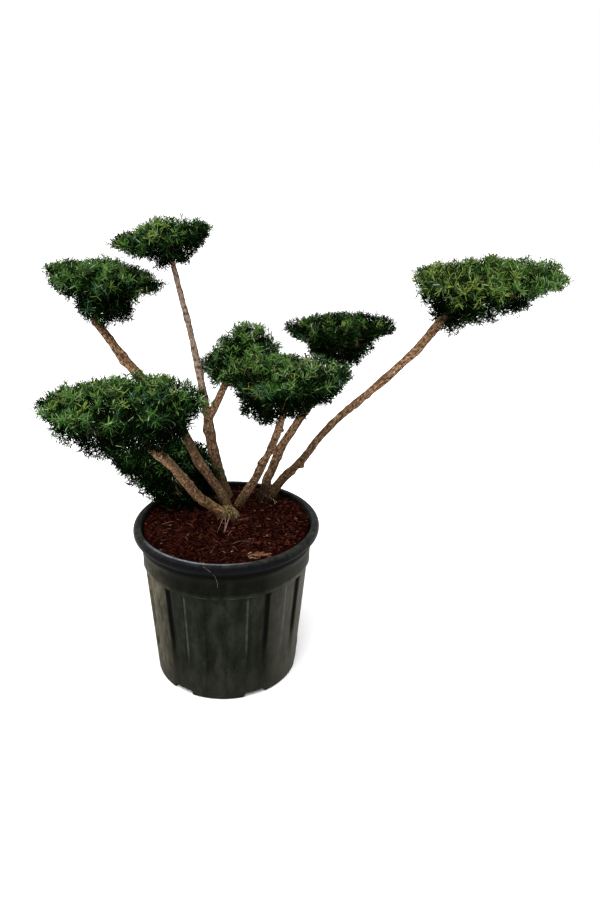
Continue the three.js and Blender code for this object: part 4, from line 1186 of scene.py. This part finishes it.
        # Painted shade towards +X, in hollows and in the deeper layers, less where it faces the sky
        sky = np.clip(1.6 * normals[:, 2], 0, 1)
        bright -= self.side_fade * aside + (0.9 * hollow + LAYER_SHADE[layer]) * (1 - 0.45 * sky)
        tint = np.digitize(bright, TINT_STEPS)
        chance = random.uniform(0, 1, count)
        tint = np.where(((tint == MID) | (tint == LIT)) & (chance > 0.74), COOL, tint)
        dry = self.dry * np.clip(-aside - 0.25, 0, 1)
        share = 0.03 + 0.1 * (noise(points * 14, 47) > 0.25) + dry
        tint = np.where((layer < 1) & (chance < share) & (bright > 0.1 - dry), OLIVE, tint)
        gold = self.gold * np.clip(self.gold_reach - 1.6 * aside, 0, 1)
        gold *= np.clip(4 * height - 2.4 + self.gold_depth, 0, 1)
        tint = np.where((layer < 2) & (random.uniform(0, 1, count) < gold) & (bright > 0.45), GOLD, tint)
        return np.where((layer < 1) & (chance > 0.985), RUST, tint)


class Surroundings:
    """What foliage keeps clear of: the limbs as rows of balls, other masses, the pot and the soil."""

    def __init__(self):
        paths = [limb_path(limb, BALL_STEP)[0] for limb in LIMBS.values()]
        self.centres = np.vstack(paths)
        self.radii = np.concatenate([limb_radius(limb, np.linspace(0, 1, len(path)))
                                     for limb, path in zip(LIMBS.values(), paths)])
        self.masses = [Mass(name) for name in MASSES]

    def has_room(self, points, margin, own):
        """True where a point keeps a margin to all of them, apart from its own mass."""
        clear = np.ones(len(points), dtype=bool)
        low, high = points.min(0) - NEAR_LIMB, points.max(0) + NEAR_LIMB
        near = np.all((self.centres > low) & (self.centres < high), axis=1)
        if near.any():
            for start in range(0, len(points), BATCH):
                part = points[start:start + BATCH]
                gaps = np.linalg.norm(part[:, None] - self.centres[near], axis=2) - self.radii[near]
                clear[start:start + BATCH] &= gaps.min(axis=1) > margin
        for mass in self.masses:
            if mass is not own:
                clear &= ~mass.holds(points, margin)
        reach = np.hypot(points[:, 0], points[:, 1])
        floor = np.where(reach < RIM_RADIUS + 0.004, POT_HEIGHT + 0.002, SOIL_TOP - 0.03)
        return clear & (points[:, 2] > np.where(reach < LIP_RADIUS - 0.006, SOIL_TOP + 0.005, floor))


def needle_shapes(bases, directions, up, lengths, widths, sag):
    """Flat needles, broadest past the middle and pointed, bent a little: five corners each."""
    side = unit(np.cross(directions, up))
    face = np.cross(side, directions)
    along, across, drop = (share * size[:, None] for share, size
                           in zip(NEEDLE_CORNERS, (lengths, widths, sag)))
    return (bases[:, None] + directions[:, None] * along[..., None] + side[:, None] * across[..., None]
            - face[:, None] * drop[..., None])


def add_needles(pile, mass, roots, axes, lengths, tints, around, random, per_shoot, scale=1.0):
    """Needles in a spiral along each shoot, opening wide low on it and closing at its tip."""
    shoots = len(roots)
    index = np.arange(per_shoot) + random.uniform(-0.35, 0.35, (shoots, per_shoot))
    share = 0.2 + 0.8 * np.clip(index / (per_shoot - 1), 0, 1) ** 0.7
    spin = (index * GOLDEN_ANGLE + random.uniform(0, FULL_TURN, (shoots, 1)))[..., None]
    across = side_vectors(axes, random)
    axis, other = axes[:, None], np.cross(axes, across)[:, None]
    radial = unit(np.cos(spin) * across[:, None] + np.sin(spin) * other + 0.12 * UP)
    opening = np.radians(76 - 20 * share ** 3 + random.normal(0, 12, share.shape))[..., None]
    directions = unit(np.cos(opening) * axis + np.sin(opening) * radial)
    bases = roots[:, None] + axis * (share * lengths[:, None])[..., None]
    size = scale * NEEDLE_LENGTH * (1.0 - 0.3 * share ** 3) * random.uniform(0.78, 1.12, share.shape)
    width = (mass.broad if mass else 1) * NEEDLE_WIDTH * random.uniform(0.85, 1.12, share.shape)
    sag = size * random.uniform(-0.02, 0.26, share.shape)
    face_up = unit(axis + 0.8 * random.normal(size=directions.shape))
    vertices = needle_shapes(*(a.reshape(-1, 3) for a in (bases, directions, face_up)),
                             size.ravel(), width.ravel(), sag.ravel())
    tips = vertices[:, -1]
    chance = random.uniform(0, 1, share.size)
    share = share.ravel()
    keep = around.has_room(tips, NEEDLE_CLEARANCE, mass)
    step = np.where(chance < 0.34, -1, 0) - (chance < 0.14)
    step += np.where(chance > 0.95 - 0.18 * share, 1, 0) + (chance > 0.94)
    # Painted shade: needles low on each shoot take darker tints
    step -= np.where(share < 0.62, 1, 0) + (share < 0.45)
    if mass:
        # Painted shade: needles deep inside the mass take darker tints
        step -= mass.holds(tips, -0.012) & (chance < 0.8)
        step -= 2 * mass.holds(tips, -0.022)
        stray = np.repeat(random.uniform(0, 1, shoots), per_shoot) < 0.2
        keep &= (mass.holds(tips, 0.02) & stray) | mass.holds(tips, 0.011 + 0.03 * mass.droop)
    plain = np.repeat(tints, per_shoot)
    shaded = np.where(step < -1, DEEP_SHADE, np.where(step < 0, MID, plain))
    slots = np.where(plain <= BRIGHT, np.clip(plain + step, SHADE, BRIGHT), shaded)
    # Painted highlight: a few needles high on lit shoots take the glint tint
    pale = (slots >= MID) & (share > 0.4) & (random.uniform(0, 1, share.shape) < 0.055)
    pile.add(vertices[keep], NEEDLE_FACES, np.where(pale, GLINT, slots)[keep])


def nearest_rows(points, targets):
    return np.argmin(np.linalg.norm(points[:, None] - targets, axis=2), axis=1)


def gather(points, count, random, rounds=6):
    """Seeded clusters: each point's group, and the groups' middles."""
    middles = points[random.choice(len(points), count, replace=False)]
    for _ in range(rounds):
        group = nearest_rows(points, middles)
        for i in np.unique(group):
            middles[i] = points[group == i].mean(0)
    return nearest_rows(points, middles), middles


def grow_shoots(mass, hub, around, random, seed):
    """The leafy shoots of a mass: roots, axes and lengths, and each one's tint."""
    points, normals = mass.skin_places(random)
    count, droop = len(points), mass.droop
    layer = random.choice(3, count, p=LAYER_SHARES)
    depth = np.choose(layer, [random.normal(0.01, 0.004, count), random.uniform(0.014, 0.03, count),
                              random.uniform(0.03, 0.062, count)])
    clumps = layered_noise(points * 30, seed, 2)
    points = points + normals * (0.014 * np.clip(clumps, -1, 0.5) - 0.001)[:, None]
    outward = unit(points - hub)
    axes = unit(0.8 * normals + 0.6 * outward + 0.5 * random.normal(size=(count, 3))
                + (0.06 - droop) * UP)
    lengths = SHOOT_LENGTH * random.uniform(0.8, 1.15, count)
    tips = points - normals * depth[:, None]
    tips[:, 2] -= droop * 0.032 * (normals[:, 2] < 0.35) * random.uniform(0.2, 1, count)
    inward = (lengths - 0.004)[:, None]
    outside = ~mass.holds(tips - axes * inward, 0.0)
    axes = np.where(outside[:, None], outward, axes)
    roots = tips - axes * inward
    keep = around.has_room(tips, LIMB_CLEARANCE, mass) & mass.holds(tips, 0.006 + 0.03 * droop)
    keep &= mass.holds(roots, 0.004 + 0.03 * droop) & ((layer < 2) | mass.holds(tips, -0.015))
    points, normals, layer, clumps, axes, lengths, roots = (
        a[keep] for a in (points, normals, layer, clumps, axes, lengths, roots))
    # Shoots in the hollows between clumps get painted shade
    tints = mass.deal_tints(points, normals, layer, np.clip(-1.6 * clumps, 0, 1), random)
    return roots, axes, lengths, tints


def grow_primaries(mass, stem, random):
    """Boughs that leave the stem in turn and reach towards the skin."""
    paths = []
    for i in range(PRIMARY_COUNT):
        turn = GOLDEN_ANGLE * i + random.uniform(-0.3, 0.3)
        end = mass.skin_points(np.array([0.8]), np.array([turn]), np.array([False]))
        end = end + 0.38 * (mass.rim + 0.3 * mass.dome * UP - end)
        start = stem[None, int((0.3 + 0.66 * i / PRIMARY_COUNT) * (len(stem) - 1))]
        middle = (start + 0.5 * (end - start)
                  + 0.22 * np.linalg.norm(end - start) * unit(mass.rim - mass.tip))
        paths.append(bend(start, middle, end, 12))
    return np.vstack(paths)


def build_mass(mass, needle_materials, twig_materials, around, seed):
    """A mass grown on from its bough: a stem, primaries, side branches, twigs and leafy shoots."""
    random = np.random.default_rng(seed)
    hub = mass.tip + 0.55 * (mass.rim - mass.tip)
    roots, axes, lengths, tints = grow_shoots(mass, hub, around, random, seed)
    needles = Pile()
    add_needles(needles, mass, roots, axes, lengths, tints, around, random, NEEDLES_PER_SHOOT)
    needles.piece("needles_" + mass.name, "needles", needle_materials, smooth=False, replaced=(mass.name,))

    twigs = Pile()
    lean_in = mass.tip + mass.heading * 0.3 * np.linalg.norm(hub - mass.tip)
    stem, _ = smooth_path([mass.tip - 0.004 * mass.heading, lean_in, hub, hub + 0.6 * (mass.rim - hub)],
                          STEM_STEP)
    twigs.add_tubes(stem[None], np.linspace(1.0, 0.42, len(stem)) * mass.tip_radius, 0, sides=10)
    primaries = grow_primaries(mass, stem, random)
    twigs.add_tubes(primaries, np.linspace(0.46, 0.17, 12) * mass.tip_radius, 0, sides=6)
    group, middles = gather(roots, max(4, len(roots) // SHOOTS_PER_NODE), random)
    trunk = np.vstack([primaries[:, 2:].reshape(-1, 3), stem[len(stem) // 3:]])
    start = trunk[nearest_rows(middles, trunk)]
    nodes = start + 0.72 * (middles - start)
    lift = 0.18 * np.linalg.norm(nodes - start, axis=1)[:, None] * UP
    thick = np.linspace(0.0024, 0.0014, 5) * random.uniform(0.8, 1.15, (len(nodes), 1))
    twigs.add_tubes(bend(start, 0.5 * (start + nodes) + lift, nodes, 5), thick, 0, sides=4)
    leave = nodes[group]
    reach = np.linalg.norm(roots - leave, axis=1)[:, None]
    lead = bend(leave, leave + 0.28 * reach * unit(nodes - start)[group], roots, 3)
    spine = [(roots + share * axes * lengths[:, None])[:, None] for share in (0.55, 1)]
    twigs.add_tubes(np.concatenate([lead, *spine], axis=1), TWIG_RADII, np.where(tints < MID, 1, 2))
    twigs.piece("twigs_" + mass.name, "bark", twig_materials)


def build_sprigs(needle_materials, twig_materials, around, random):
    """Small leafy sprigs on the bare stems, each by its root, direction and length."""
    roots, axes, lengths, tints = (np.array(part) for part in zip(*SPRIGS))
    roots, axes, lengths = roots / MILLIMETRES, unit(axes), lengths / MILLIMETRES
    needles, twigs = Pile(), Pile()
    add_needles(needles, None, roots, axes, lengths, tints, around, random, NEEDLES_PER_SPRIG, SPRIG_SCALE)
    needles.piece("needles_on_stems", "needles", needle_materials, smooth=False)
    reach = axes * lengths[:, None]
    starts = around.centres[nearest_rows(roots, around.centres)]
    twigs.add_tubes(np.stack([starts, roots, roots + 0.5 * reach, roots + reach], axis=1), SPRIG_RADII, 2)
    twigs.piece("twigs_on_stems", "bark", twig_materials)


# The stage

def build_camera():
    """The photograph's view: from in front, a little above, pitched down and rolled a trifle."""
    data = bpy.data.cameras.new("camera")
    camera = add_object("camera", data)
    camera.location = CAMERA_PLACE
    pitch = Euler((math.radians(90 - CAMERA_PITCH), 0, 0)).to_matrix()
    roll = Euler((0, 0, math.radians(CAMERA_ROLL))).to_matrix()
    camera.rotation_euler = (pitch @ roll).to_euler()
    data.sensor_fit = "VERTICAL"
    data.sensor_height = SENSOR_HEIGHT
    data.lens = FOCAL_LENGTH * SENSOR_HEIGHT / PHOTO_HEIGHT
    data.shift_y = FRAME_SHIFT / PHOTO_HEIGHT
    data.dof.use_dof = False
    bpy.context.scene.camera = camera


def build_stage():
    size = FLOOR_HALF_WIDTH
    mesh = bpy.data.meshes.new("floor")
    mesh.from_pydata([(-size, -size, 0), (size, -size, 0), (size, size, 0), (-size, size, 0)], [],
                     [(0, 1, 2, 3)])
    mesh.materials.append(plain_material("pale_floor", (0.97, 0.97, 0.97), 0.9, 0.0))
    add_object("floor", mesh)
    world = bpy.data.worlds.new("studio")
    bpy.context.scene.world = world
    world.use_nodes = True
    background = world.node_tree.nodes["Background"]
    background.inputs["Color"].default_value = (1, 1, 1, 1)
    background.inputs["Strength"].default_value = 1.0
    data = bpy.data.lights.new("soft_sun", "SUN")
    data.energy = SUN_STRENGTH
    data.angle = math.radians(SUN_SPREAD)
    sun = add_object("soft_sun", data)
    sun.rotation_euler = Vector(SUN_HEADING).to_track_quat("-Z", "Y").to_euler()
    bpy.context.scene.view_settings.view_transform = "Standard"


def main():
    build_camera()
    build_stage()
    build_pot()
    build_soil()
    random = np.random.default_rng(MULCH_SEED)
    build_mulch(random)
    build_fibres(random)
    wood = {name: foot_material(*foot["wood"]) for name, foot in FEET.items()}
    barks = {name: bark_material(*look) for name, look in BARKS.items()}
    barks["foot"] = wood["foot_right"]
    hairs = {name: chip_material(*foot["hair"]) for name, foot in FEET.items()}
    long_hair = chip_material(*LONG_HAIR)
    for i, name in enumerate(FEET):
        foot = Foot(name)
        foot.build(wood[name], FOOT_SEED + i)
        foot.build_fibres([hairs[name], long_hair], np.random.default_rng(FOOT_FIBRE_SEED + i))
    for i, name in enumerate(LIMBS):
        build_limb(name, barks[LIMBS[name].get("bark", "plain")], LIMB_SEED + i)
    needle_materials = [plain_material(name, colour, 0.42, shine)
                        for name, (colour, shine) in NEEDLE_TINTS.items()]
    twig_materials = [
        barks["plain"],
        plain_material("twig_brown", (0.022, 0.014, 0.009), 0.85, 0.0),
        plain_material("twig_green", (0.035, 0.05, 0.016), 0.6, 0.05),
    ]
    around = Surroundings()
    for i, mass in enumerate(around.masses):
        build_mass(mass, needle_materials, twig_materials, around, MASS_SEED + i)
    build_sprigs(needle_materials, twig_materials, around, np.random.default_rng(SPRIG_SEED))


main()
